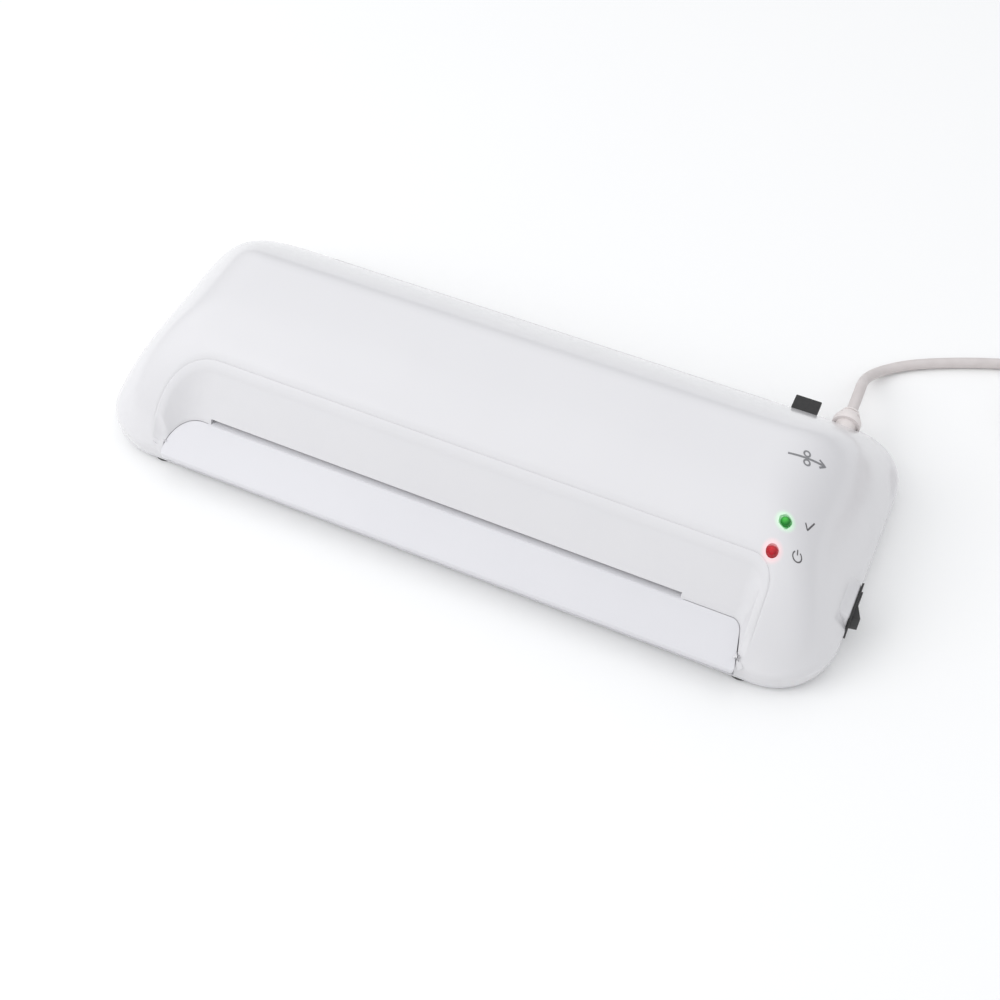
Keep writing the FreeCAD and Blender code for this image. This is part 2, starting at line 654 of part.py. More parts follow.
def make_tie_screws():
    heads = []
    for y, z in TIE_RODS_YZ:
        heads.append(rod_x(LEFT_FRAME_X - FRAME_T - 1.4, LEFT_FRAME_X - FRAME_T, y, z, 2.8))
        x = RIGHT_FRAME_X + FRAME_T
        heads.append(rod_x(x, x + 1.4, y, z, 2.8))
    return group(*heads)


# ---- motor, gears and release -------------------------------------------------------

def make_motor_bracket():
    outline = [(1.0, FLOOR_TOP_Z), (47.0, FLOOR_TOP_Z), (47.0, 36.0), (30.0, 53.4),
               (4.0, 54.4), (1.0, 46.0)]
    plate = plate_x(BRACKET_X[0], BRACKET_X[1], outline)
    return plate.cut(rod_x(BRACKET_X[0] - 1, BRACKET_X[1] + 1, *PINION_YZ, 5.0))


def make_standoffs():
    return group(*[rod_x(BRACKET_X[1], LEFT_FRAME_X - FRAME_T, y, z, 2.2)
                   for y, z in STANDOFFS_YZ])


def make_motor_screws():
    heads = [rod_x(BRACKET_X[0] - 1.6, BRACKET_X[0], y, z, 2.4) for y, z in STANDOFFS_YZ]
    return group(*heads)


def make_motor():
    y, z = MOTOR_CENTRE_YZ
    x1 = BRACKET_X[0]
    can = rod_x(x1 - MOTOR_LENGTH, x1, y, z, MOTOR_R)
    can = can.makeFillet(1.5, [can.Edges[0], can.Edges[2]])
    lug = box(x1 - 12, x1 - 4, y + 14, y + 25, z - 6, z + 6)
    bore = rod_x(x1 - 4.0, x1 + 1, *PINION_YZ, PINION_BORE_R + RUNNING)
    return fuse(can, lug).cut(bore)


def make_release_shaft():
    y, z = RELEASE_YZ
    return rod_x(LEFT_FRAME_X - FRAME_T - 0.6, LEVER_X[1] + 1.4, y, z, RELEASE_R)


def release_cam(frame_x, outward):
    """A throw on the release shaft that stands under a bearing block's arm."""
    x0, x1 = sorted((frame_x - outward * 0.4, frame_x - outward * 2.6))
    y, z = RELEASE_YZ
    hub = rod_x(x0, x1, y, z, CAM_R + 0.6)
    nose = rod_x(x0, x1, y - CAM_THROW, z, CAM_R)
    web = box(x0, x1, y - CAM_THROW, y, z - CAM_R + 0.4, z + CAM_R - 0.4)
    return fuse(hub, nose, web).cut(rod_x(x0 - 1, x1 + 1, y, z, RELEASE_R))


def make_release_lever():
    y, z = RELEASE_YZ
    x0, x1 = LEVER_X
    hub = rod_x(x0, x1, y, z, 5.4)
    tab_low, tab_high = LEVER_TAB_Z
    outline = [(y - 1.0, z + 4.6), (y + 3.0, z + 4.2), (55.0, 29.4), (60.0, tab_high),
               (LEVER_TIP_Y, tab_high), (LEVER_TIP_Y, tab_low), (58.6, tab_low),
               (53.0, 26.0), (y - 2.0, z - 4.4)]
    lever = fuse(hub, plate_x(x0, x1, outline))
    return lever.cut(rod_x(x0 - 1, x1 + 1, y, z, RELEASE_R))


def make_idler_pin():
    pin = rod_x(GEAR_X[0] - 1.2, LEFT_FRAME_X, *IDLER_YZ, 2.0)
    head = rod_x(GEAR_X[0] - 1.2, GEAR_X[0] - 0.4, *IDLER_YZ, 3.6)
    collar = rod_x(GEAR_X[1] + 0.3, LEFT_FRAME_X - FRAME_T, *IDLER_YZ, 3.4)
    return fuse(pin, head, collar)


# ---- electrical parts ---------------------------------------------------------------

def led(x, y):
    """A round indicator lamp: flange, body, domed tip and two legs."""
    tip_z = dome_z(x, y) + 1.7
    body = rod_z(tip_z - 9.0, tip_z - LED_R, x, y, LED_R)
    dome = Part.makeSphere(LED_R, V(x, y, tip_z - LED_R))
    legs = [rod_z(LED_BOARD_Z[1], tip_z - 8.5, x + side * LED_LEG_X, y, 0.3)
            for side in (-1, 1)]
    return fuse(body, dome, *legs)


def make_led_board():
    low, high = LED_BOARD_Z
    board = box(136.5, 157.0, -44.5, -22.5, low, high)
    for x, y in LED_BOARD_SCREWS:
        board = board.cut(rod_z(40, 50, x, y, 1.3))
    for x, y in (READY_XY, POWER_XY):
        for side in (-1, 1):
            board = board.cut(rod_z(40, 50, x + side * LED_LEG_X, y, 0.45))
    return board


def make_control_board():
    board = box(125.5, 174.0, -26.0, 39.0, *BOARD_Z)
    board = board.cut(box(166.0, 175.0, -27.0, -15.0, 17.0, 20.0))
    for x, y in BOARD_SCREWS:
        board = board.cut(rod_z(10, 30, x, y, 1.6))
    return board


def make_board_parts():
    """The control board's capacitor, relay, terminal block and transformer."""
    top = BOARD_Z[1]
    capacitor = rod_z(top, top + 12, 163, 8, 5.0)
    relay = box(142, 158, -20, -10, top, top + 12)
    terminals = box(146, 170, 22, 30, top, top + 9)
    for i in range(4):
        terminals = terminals.cut(rod_z(top + 4, top + 10, 149.2 + 5.8 * i, 26, 1.9))
    transformer = box(140, 156, 0, 14, top, top + 13)
    return group(capacitor, relay, terminals, transformer)


def make_switch_body():
    y, z = SWITCH_YZ
    flange = box(SWITCH_FACE_X, SWITCH_FACE_X + 0.9, y - 10.5, y + 10.5, z - 7.5, z + 7.5)
    body = box(169.0, SWITCH_FACE_X, y - 9.5, y + 9.5, z - 6.4, z + 6.4)
    well = box(176.5, 190, y - 8.7, y + 8.7, z - 4.8, z + 4.8)
    blades = [box(161.5, 169.0, y + dy - 2.4, y + dy + 2.4, z - 0.4, z + 0.4)
              for dy in (-6.0, 0.0, 6.0)]
    return fuse(flange, body, *blades).cut(well)


def make_rocker():
    """The rocker, tipped so that its front end stands proud."""
    y, z = SWITCH_YZ
    x = ROCKER_PIVOT_X
    outline = [(x - 2.4, -3.0), (x + 1.6, -ROCKER_HALF), (x + 5.3, -ROCKER_HALF),
               (x + 3.7, 0.0), (x + 5.3, ROCKER_HALF), (x + 1.6, ROCKER_HALF),
               (x - 2.4, 3.0)]
    wire = polygon([(px, y + py, z - ROCKER_HALF_WIDTH) for px, py in outline])
    rocker = Part.Face(wire).extrude(V(0, 0, 2 * ROCKER_HALF_WIDTH))
    rocker.rotate(V(x, y, z), V(0, 0, 1), ROCKER_TILT)
    return rocker


def make_strain_relief():
    x, y1, z = CORD_EXIT
    profile = [(0, RELIEF_INNER_Y), (6.0, RELIEF_INNER_Y), (6.0, 53.5), (RELIEF_NECK_R, 54.5),
               (RELIEF_NECK_R, RELIEF_SEAT_Y), (RELIEF_COLLAR_R, RELIEF_SEAT_Y),
               (RELIEF_COLLAR_R, 69.0), (5.6, 71.5), (4.2, y1), (0, y1)]
    wire = polygon([(x + r, y, z) for r, y in profile])
    relief = Part.Face(wire).revolve(V(x, 0, z), V(0, 1, 0), 360)
    for side in (-1, 1):
        cut_x = sorted((x + side * 3.4, x + side * 8.0))
        relief = relief.cut(box(cut_x[0], cut_x[1], 70.4, 71.3, z - 9, z + 9))
        cut_z = sorted((z + side * 3.4, z + side * 8.0))
        relief = relief.cut(box(x - 9, x + 9, 72.6, 73.4, cut_z[0], cut_z[1]))
    return relief


# ---- mains lead ---------------------------------------------------------------------

def cord_path(route):
    """Straight runs joined by tangent arcs, each arc as large as its runs allow."""
    points = [V(*p) for p in route]
    edges = []
    start = points[0]
    for i in range(1, len(points) - 1):
        before, here, after = points[i - 1], points[i], points[i + 1]
        back, ahead = (before - here), (after - here)
        shorter = min(back.Length, ahead.Length)
        back.normalize()
        ahead.normalize()
        half_turn = (math.pi - back.getAngle(ahead)) / 2
        reach = 0.45 * shorter
        radius = reach / math.tan(half_turn)
        bisector = (back + ahead).normalize()
        middle = here + bisector * (radius / math.cos(half_turn) - radius)
        first, last = here + back * reach, here + ahead * reach
        edges.append(Part.LineSegment(start, first).toShape())
        edges.append(Part.Arc(first, middle, last).toShape())
        print("cord bend", i, "radius", round(radius, 1), "turn",
              round(math.degrees(2 * half_turn), 1))
        start = last
    edges.append(Part.LineSegment(start, points[-1]).toShape())
    return Part.Wire(edges)


def make_power_cord():
    path = cord_path(CORD_ROUTE)
    first = V(*CORD_ROUTE[1]) - V(*CORD_ROUTE[0])
    section = Part.Wire(Part.makeCircle(CORD_R, V(*CORD_ROUTE[0]), first))
    tube = path.makePipeShell([section], True, False)
    ratio = tube.Volume / (math.pi * CORD_R ** 2 * path.Length)
    print("cord tube length", round(path.Length, 1), "volume ratio", round(ratio, 4))
    return tube


def make_cord_coil():
    x, y = COIL_CENTRE
    outer = rod_z(0.1, COIL_HEIGHT, x, y, COIL_TURN_R + COIL_HALF_WIDTH)
    inner = rod_z(-1, COIL_HEIGHT + 1, x, y, COIL_TURN_R - COIL_HALF_WIDTH)
    ring = outer.cut(inner)
    return ring.makeFillet(3.6, [e for e in ring.Edges if len(e.Vertexes) == 1])


def make_power_plug():
    """A flat two-pin plug that lies on the coil, its pins towards -Y."""
    x, y = COIL_CENTRE[0] + PLUG_FROM_COIL[0], COIL_CENTRE[1] + PLUG_FROM_COIL[1]
    z = COIL_HEIGHT + 0.05
    outline = arc_wire([(x - 8.0, y - 16.0, 2.5), (x + 17.7, y - 16.0, 2.5),
                        (x + 17.7, y + 0.0, 5.0), (x + 9.4, y + 19.0, 3.0),
                        (x + 0.3, y + 19.0, 3.0), (x - 8.0, y + 0.0, 5.0)], z)
    body = prism(outline, PLUG_HEIGHT)
    body = body.makeFillet(2.0, [e for e in body.Edges
                                 if abs(e.BoundBox.ZMax - e.BoundBox.ZMin) < 0.01])
    pin_x, pin_z = x + 4.85, z + PLUG_HEIGHT / 2
    pins = [rod_y(y - 35.0, y - 15.0, pin_x + side * PLUG_PIN_SPACING / 2, pin_z, PLUG_PIN_R)
            for side in (-1, 1)]
    tail = Part.makeCone(5.2, 3.6, 12.0, V(pin_x, y + 18.5, pin_z), V(0, 1, 0))
    return fuse(body, tail, *pins)


# ---- feet and screws ----------------------------------------------------------------

def make_feet():
    feet = []
    for x, y in FEET_XY:
        pad = rod_z(0, FLOOR_BOTTOM_Z, x, y, FOOT_R)
        stem = rod_z(0, FLOOR_BOTTOM_Z + FOOT_STEM, x, y, FOOT_STEM_R)
        feet.append(fuse(pad, stem))
    return group(*feet)


def make_case_screws():
    screws = []
    for x, y in CASE_SCREWS:
        head = rod_z(FLOOR_BOTTOM_Z + 0.2, 3.6, x, y, 2.9)
        shank = rod_z(3.6, 20.0, x, y, CASE_SCREW_R)
        cross = cross_recess(x, y, 1.0, 3.0)
        screws.append(fuse(head, shank).cut(cross))
    return group(*screws)


def make_board_screws():
    screws = []
    for x, y in BOARD_SCREWS:
        low, high = BOARD_Z
        screws.append(fuse(rod_z(low, high, x, y, 1.5), rod_z(high, high + 1.6, x, y, 2.6)))
    for x, y in LED_BOARD_SCREWS:
        low, high = LED_BOARD_Z
        screws.append(fuse(rod_z(low, high, x, y, 1.3), rod_z(low - 1.4, low, x, y, 2.3)))
    return group(*screws)


# ---- the whole machine --------------------------------------------------------------

def build_casing():
    keep("top_cover", make_top_cover())
    keep("lower_housing", make_lower_housing())
    keep("rubber_feet", make_feet())
    keep("case_screws", make_case_screws())


def build_frames():
    for side, frame_x, outward in (("left", LEFT_FRAME_X, -1), ("right", RIGHT_FRAME_X, 1)):
        keep(side + "_side_frame", side_frame(frame_x, outward, side == "left"))
        keep(side + "_lower_bush", lower_bush(frame_x, outward))
        keep(side + "_bearing_block", carriage_block(frame_x, outward))
        keep(side + "_pressure_spring", pressure_spring(frame_x, outward))
        keep(side + "_release_cam", release_cam(frame_x, outward))
    keep("frame_screws", make_frame_screws())
    keep("tie_rods", make_tie_rods())
    keep("tie_rod_screws", make_tie_screws())


def build_rollers():
    lower = (ROLLER_Y, LOWER_Z)
    upper = (ROLLER_Y, UPPER_Z)
    keep("lower_roller_shaft", roller_shaft(LOWER_Z))
    keep("lower_roller_sleeve", roller_sleeve(LOWER_Z))
    keep("upper_roller_shaft", roller_shaft(UPPER_Z))
    keep("upper_roller_sleeve", roller_sleeve(UPPER_Z))
    upper_phase = meshed_phase(0.0, ROLLER_TEETH, lower, ROLLER_TEETH, upper)
    idler_phase = meshed_phase(0.0, ROLLER_TEETH, lower, IDLER_TEETH, IDLER_YZ)
    pinion_phase = meshed_phase(idler_phase, IDLER_TEETH, IDLER_YZ, PINION_TEETH, PINION_YZ)
    keep("lower_roller_gear", gear(ROLLER_TEETH, lower, 0.0, JOURNAL_R))
    keep("upper_roller_gear", gear(ROLLER_TEETH, upper, upper_phase, JOURNAL_R))
    keep("idler_gear", gear(IDLER_TEETH, IDLER_YZ, idler_phase, 2.0 + RUNNING))
    keep("motor_pinion", gear(PINION_TEETH, PINION_YZ, pinion_phase, PINION_BORE_R))
    keep("motor_shaft", rod_x(BRACKET_X[0] - 3.5, GEAR_X[1] + 0.4, *PINION_YZ,
                              PINION_BORE_R))
    keep("idler_pin", make_idler_pin())


def build_drive_and_release():
    keep("gear_motor", make_motor())
    keep("motor_bracket", make_motor_bracket())
    keep("motor_standoffs", make_standoffs())
    keep("motor_screws", make_motor_screws())
    keep("release_shaft", make_release_shaft())
    keep("release_lever", make_release_lever())


def build_heating():
    lower_back = SLOT_BOTTOM_Z - HEATER_T
    upper_back = SLOT_TOP_Z + HEATER_T
    keep("lower_heater_plate", heater_plate(SLOT_BOTTOM_Z, -1))
    keep("upper_heater_plate", heater_plate(SLOT_TOP_Z, 1))
    keep("lower_heating_element", heating_element(lower_back, -1))
    keep("upper_heating_element", heating_element(upper_back, 1))
    keep("thermostat", make_thermostat(upper_back + ELEMENT_T))
    keep("thermal_fuse", make_thermal_fuse(upper_back + ELEMENT_T))
    low, high = EXIT_SLOT_Z
    keep("lower_exit_guide", exit_guide(low - EXIT_GUIDE_T, low, 8.6, 59.0, 17.9))
    keep("upper_exit_guide", exit_guide(high, high + 1.8, 8.0, 51.0, 34.6))


def build_electrics():
    keep("control_board", make_control_board())
    keep("board_components", make_board_parts())
    keep("board_screws", make_board_screws())
    keep("led_board", make_led_board())
    keep("ready_lamp", led(*READY_XY))
    keep("power_lamp", led(*POWER_XY))
    keep("switch_body", make_switch_body())
    keep("rocker", make_rocker())
    keep("strain_relief", make_strain_relief())
    keep("power_cord", make_power_cord())
    keep("cord_coil", make_cord_coil())
    keep("power_plug", make_power_plug())


def write_steps():
    os.makedirs("parts", exist_ok=True)
    for name, shape in NODES.items():
        if not shape.isValid():
            print("not valid:", name)
        shape.exportStep("parts/" + name + ".step")
        size = shape.BoundBox
        print(name, "solids", len(shape.Solids), "volume", round(shape.Volume, 1),
              "x", round(size.XMin, 1), round(size.XMax, 1),
              "y", round(size.YMin, 1), round(size.YMax, 1),
              "z", round(size.ZMin, 2), round(size.ZMax, 2))


build_casing()
build_frames()
build_rollers()
build_drive_and_release()
build_heating()
build_electrics()
write_steps()
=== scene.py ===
import bmesh
import bpy
import json
import math
from mathutils import Matrix, Vector

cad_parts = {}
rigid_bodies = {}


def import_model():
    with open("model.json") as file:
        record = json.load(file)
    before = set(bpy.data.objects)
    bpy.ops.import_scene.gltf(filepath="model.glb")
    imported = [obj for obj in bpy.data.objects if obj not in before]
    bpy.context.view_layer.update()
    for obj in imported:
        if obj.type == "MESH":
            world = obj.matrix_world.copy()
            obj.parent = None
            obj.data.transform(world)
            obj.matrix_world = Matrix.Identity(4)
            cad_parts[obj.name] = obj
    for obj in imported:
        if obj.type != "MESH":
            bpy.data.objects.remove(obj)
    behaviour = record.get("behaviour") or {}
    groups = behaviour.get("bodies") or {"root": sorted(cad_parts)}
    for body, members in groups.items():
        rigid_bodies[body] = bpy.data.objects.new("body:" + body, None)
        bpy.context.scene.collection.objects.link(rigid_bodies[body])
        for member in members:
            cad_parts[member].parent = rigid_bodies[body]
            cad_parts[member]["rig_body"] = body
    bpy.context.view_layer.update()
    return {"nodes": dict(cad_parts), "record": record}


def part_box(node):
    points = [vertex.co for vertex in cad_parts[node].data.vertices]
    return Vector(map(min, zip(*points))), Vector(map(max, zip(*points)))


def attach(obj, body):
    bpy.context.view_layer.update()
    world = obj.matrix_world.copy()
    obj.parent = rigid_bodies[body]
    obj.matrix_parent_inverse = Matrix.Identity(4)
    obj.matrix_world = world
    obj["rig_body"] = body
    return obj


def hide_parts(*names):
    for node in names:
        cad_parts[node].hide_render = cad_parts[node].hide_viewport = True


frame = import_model()

# The looks of a pouch laminator. Shapes are worked out in millimetres from the middle of
# the casing, with z up from the table, and at() turns them into the frame's metres.

MM = 0.001
COVER_LOW, COVER_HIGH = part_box("top_cover")
MIDDLE = (COVER_LOW + COVER_HIGH) / 2


def at(x, y, z):
    """A place in the frame's metres, from millimetres."""
    return Vector((MIDDLE.x + x * MM, MIDDLE.y + y * MM, z * MM))


def centre_of(node):
    """The middle of a CAD node, in millimetres from the middle of the casing."""
    low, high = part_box(node)
    middle = (low + high) / 2
    return (middle.x - MIDDLE.x) / MM, (middle.y - MIDDLE.y) / MM, middle.z / MM


# ---- the casing's shape, as the CAD has it --------------------------------------------
HALF_LENGTH = (COVER_HIGH.x - COVER_LOW.x) / 2 / MM
HALF_DEPTH = (COVER_HIGH.y - COVER_LOW.y) / 2 / MM
CREST_Z = COVER_HIGH.z / MM
CREASE_Z = 13.4
CREASE_BAND = 0.5
DOME_HEIGHT = CREST_Z - CREASE_Z - CREASE_BAND
FRONT_RUN, FRONT_POWER = 65.0, 2.54
REAR_RUN, REAR_POWER = 60.7, 1.4
END_RUN, END_POWER = 55.5, 2.3
CORNER_BLEND = 1.9
RIM_SLOPE, RIM_RISE = 1.15, 14.0
RIM_BLEND, RIM_BLEND_MOST = 0.35, 3.0
FRONT_CORNER_R, REAR_CORNER_R = 30.0, 29.0
SKIRT_BOTTOM_Z = COVER_LOW.z / MM
SKIRT_INSET = 1.3
WALL = 2.2

TRAY_LIP = (-77.4, 13.7)
SLOT_LINE = (-60.0, 26.0)
SLOT_X = (-122.5, 114.5)
SLOT_TOP_Z = 28.7


def outline_distance(x, y):
    """How far a point lies inside the casing's outline in plan."""
    radius = FRONT_CORNER_R if y < 0 else REAR_CORNER_R
    across = abs(x) - (HALF_LENGTH - radius)
    along = abs(y) - (HALF_DEPTH - radius)
    if across > 0 and along > 0:
        return radius - math.hypot(across, along)
    return radius - max(across, along)


def dome_z(x, y):
    """Height of the casing's dome over a point."""
    def fall(distance, run, power):
        return max(1 - distance / run, 0.0) ** power
    front = fall(y + HALF_DEPTH, FRONT_RUN, FRONT_POWER)
    rear = fall(HALF_DEPTH - y, REAR_RUN, REAR_POWER)
    end = fall(HALF_LENGTH - abs(x), END_RUN, END_POWER)
    total = front ** CORNER_BLEND + rear ** CORNER_BLEND + end ** CORNER_BLEND
    dome = CREST_Z - DOME_HEIGHT * total ** (1 / CORNER_BLEND)
    inside = outline_distance(x, y)
    rim = CREASE_Z + CREASE_BAND
    rim += RIM_RISE * (1 - math.exp(-RIM_SLOPE * inside / RIM_RISE))
    blend = min(RIM_BLEND_MOST, RIM_BLEND * max(inside, 0.0))
    return (dome + rim + math.hypot(dome - rim, blend)) / 2


def tray_z(y):
    """Height of the entry tray's face."""
    rise = (SLOT_LINE[1] - TRAY_LIP[1]) / (SLOT_LINE[0] - TRAY_LIP[0])
    return min(SLOT_LINE[1], TRAY_LIP[1] + rise * (y - TRAY_LIP[0]))


# ---- small helpers ----------------------------------------------------------------------
DRUM_SIDES = 64


def lerp(a, b, t):
    """The point a share t of the way from a to b."""
    return tuple(p + (q - p) * t for p, q in zip(a, b))


def arc(centre, radius, start, end, count):
    """Points and outward directions along an arc in plan, angles in degrees."""
    found = []
    for i in range(count):
        angle = math.radians(start + (end - start) * i / (count - 1))
        way = (math.cos(angle), math.sin(angle))
        found.append(((centre[0] + radius * way[0], centre[1] + radius * way[1]), way))
    return found


def line(start, end, way, count):
    """Points strictly between two ends in plan, with one outward direction."""
    return [(lerp(start, end, (i + 1) / (count + 1)), way) for i in range(count)]


def new_piece(name, mesh, body, material):
    """Makes a visible piece that rides on a body and fills a material slot."""
    piece = bpy.data.objects.new(name, mesh)
    bpy.context.scene.collection.objects.link(piece)
    mesh.materials.clear()
    mesh.materials.append(material)
    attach(piece, body)
    return piece


def mesh_from(name, bm):
    mesh = bpy.data.meshes.new(name)
    bm.to_mesh(mesh)
    bm.free()
    return mesh


def smooth(mesh, degrees):
    mesh.shade_smooth()
    mesh.set_sharp_from_angle(angle=math.radians(degrees))


def settle(piece):
    """Puts the result of a piece's modifiers into its mesh."""
    bpy.context.view_layer.update()
    graph = bpy.context.evaluated_depsgraph_get()
    mesh = bpy.data.meshes.new_from_object(piece.evaluated_get(graph))
    piece.modifiers.clear()
    piece.data = mesh


def block(bm, low, high):
    """Adds a closed box between two corners in millimetres."""
    size = [h - l for l, h in zip(low, high)]
    middle = [(l + h) / 2 for l, h in zip(low, high)]
    place = Matrix.Translation(at(*middle)) @ Matrix.Diagonal([s * MM for s in size] + [1])
    bmesh.ops.create_cube(bm, size=1.0, matrix=place)


def drum(bm, start, end, radius):
    """Adds a closed cylinder between two points in millimetres."""
    a, b = at(*start), at(*end)
    turn = (b - a).to_track_quat("Z", "Y").to_matrix().to_4x4()
    place = Matrix.Translation((a + b) / 2) @ turn
    bmesh.ops.create_cone(bm, cap_ends=True, segments=DRUM_SIDES, radius1=radius * MM,
                          radius2=radius * MM, depth=(b - a).length, matrix=place)


def combine(piece, tool_bm, operation):
    """Joins or cuts a piece with the solids in a bmesh."""
    tool = bpy.data.objects.new("tool", mesh_from("tool", tool_bm))
    bpy.context.scene.collection.objects.link(tool)
    step = piece.modifiers.new("combine", "BOOLEAN")
    step.operation = operation
    step.solver = "EXACT"
    step.object = tool
    settle(piece)
    bpy.data.objects.remove(tool)


# ---- materials --------------------------------------------------------------------------
MOTTLE_SPAN = (0.3, 0.7)
SHINE_GRAIN = 0.6
BUMP_DEPTH = 0.1
LENS_FADE = (0.2, 2.2)
LENS_SHIFT = (0.3, 0.2)
LENS_DARK, RIM_GLOW = 0.6, 0.35
GLOW_FADE = (2.6, 5.6)


def map_range(nodes, links, value, span, to=(0.0, 1.0)):
    """A node that maps a value's span onto another one."""
    ramp = nodes.new("ShaderNodeMapRange")
    ramp.inputs["From Min"].default_value, ramp.inputs["From Max"].default_value = span
    ramp.inputs["To Min"].default_value, ramp.inputs["To Max"].default_value = to
    links.new(value, ramp.inputs["Value"])
    return ramp


def blend_colours(nodes, links, factor, first, second):
    """The output that goes from the first colour to the second with a factor."""
    mix = nodes.new("ShaderNodeMix")
    mix.data_type = "RGBA"
    mix.inputs[6].default_value = (*first, 1)
    mix.inputs[7].default_value = (*second, 1)
    links.new(factor, mix.inputs[0])
    return mix.outputs[2]


def surface(name, light, dark, grain, rough, bump, metallic=0.0, stretch=(1, 1, 1),
            pattern="noise", **sockets):
    """A procedural finish: mottled colour, uneven roughness and a fine bump.

    grain and bump[0] are sizes in millimetres, rough is a range, and stretch draws the
    pattern out along an axis where its factor is small.
    """
    material = bpy.data.materials.new(name)
    material.use_nodes = True
    nodes, links = material.node_tree.nodes, material.node_tree.links
    shader = nodes["Principled BSDF"]
    shader.inputs["Metallic"].default_value = metallic
    for socket, value in sockets.items():
        shader.inputs[socket.replace("_", " ")].default_value = value
    place = nodes.new("ShaderNodeTexCoord")
    mapping = nodes.new("ShaderNodeMapping")
    mapping.inputs["Scale"].default_value = stretch
    links.new(place.outputs["Object"], mapping.inputs["Vector"])

    def texture(kind, size, detail=3.0):
        if kind == "cells":
            node = nodes.new("ShaderNodeTexVoronoi")
            output = node.outputs["Color"]
        else:
            node = nodes.new("ShaderNodeTexNoise")
            node.inputs["Detail"].default_value = detail
            output = node.outputs["Fac"]
        node.inputs["Scale"].default_value = 1 / (size * MM)
        links.new(mapping.outputs["Vector"], node.inputs["Vector"])
        return output

    mottle = map_range(nodes, links, texture(pattern, grain), MOTTLE_SPAN)
    colour = blend_colours(nodes, links, mottle.outputs["Result"], dark, light)
    links.new(colour, shader.inputs["Base Color"])
    shine = map_range(nodes, links, texture("noise", grain * SHINE_GRAIN), MOTTLE_SPAN, rough)
    links.new(shine.outputs["Result"], shader.inputs["Roughness"])
    height = nodes.new("ShaderNodeBump")
    height.inputs["Strength"].default_value = bump[1]
    height.inputs["Distance"].default_value = bump[0] * BUMP_DEPTH * MM
    links.new(texture("noise", bump[0], 2.0), height.inputs["Height"])
    links.new(height.outputs["Normal"], shader.inputs["Normal"])
    return material


def from_middle(nodes, links, x, y, near, far):
    """A ramp from 1 to 0 as a point's distance in plan goes from near to far."""
    place = nodes.new("ShaderNodeTexCoord")
    away = nodes.new("ShaderNodeVectorMath")
    away.operation = "SUBTRACT"
    away.inputs[1].default_value = at(x, y, 0)
    flat = nodes.new("ShaderNodeVectorMath")
    flat.operation = "MULTIPLY"
    flat.inputs[1].default_value = (1, 1, 0)
    length = nodes.new("ShaderNodeVectorMath")
    length.operation = "LENGTH"
    links.new(place.outputs["Object"], away.inputs[0])
    links.new(away.outputs[0], flat.inputs[0])
    links.new(flat.outputs[0], length.inputs[0])
    return map_range(nodes, links, length.outputs["Value"], (near * MM, far * MM), (1.0, 0.0))


def lamp_material(name, node, rim, heart, strength):
    """A lit lens: bright where the chip is behind it, deeper towards its rim."""
    dark = [LENS_DARK * c for c in rim]
    material = surface(name, rim, dark, 1.2, (0.12, 0.2), (0.6, 0.15))
    nodes, links = material.node_tree.nodes, material.node_tree.links
    shader = nodes["Principled BSDF"]
    x, y, _ = centre_of(node)
    ramp = from_middle(nodes, links, x - LENS_SHIFT[0], y - LENS_SHIFT[1], *LENS_FADE)
    ramp.interpolation_type = "SMOOTHSTEP"
    edge = [RIM_GLOW * c for c in rim]
    colour = blend_colours(nodes, links, ramp.outputs["Result"], edge, heart)
    links.new(colour, shader.inputs["Emission Color"])
    shader.inputs["Emission Strength"].default_value = strength
    return material


def add_glow(material, spots):
    """Light that leaks into the casing round each lamp: (node, colour) pairs."""
    nodes, links = material.node_tree.nodes, material.node_tree.links
    shader = nodes["Principled BSDF"]
    total = None
    for node, colour in spots:
        x, y, _ = centre_of(node)
        ramp = from_middle(nodes, links, x, y, *GLOW_FADE)
        ramp.interpolation_type = "SMOOTHERSTEP"
        tint = blend_colours(nodes, links, ramp.outputs["Result"], (0, 0, 0), colour)
        if total is None:
            total = tint
            continue
        joined = nodes.new("ShaderNodeMix")
        joined.data_type = "RGBA"
        joined.blend_type = "ADD"
        joined.inputs[0].default_value = 1.0
        links.new(total, joined.inputs[6])
        links.new(tint, joined.inputs[7])
        total = joined.outputs[2]
    links.new(total, shader.inputs["Emission Color"])
    shader.inputs["Emission Strength"].default_value = 1.0


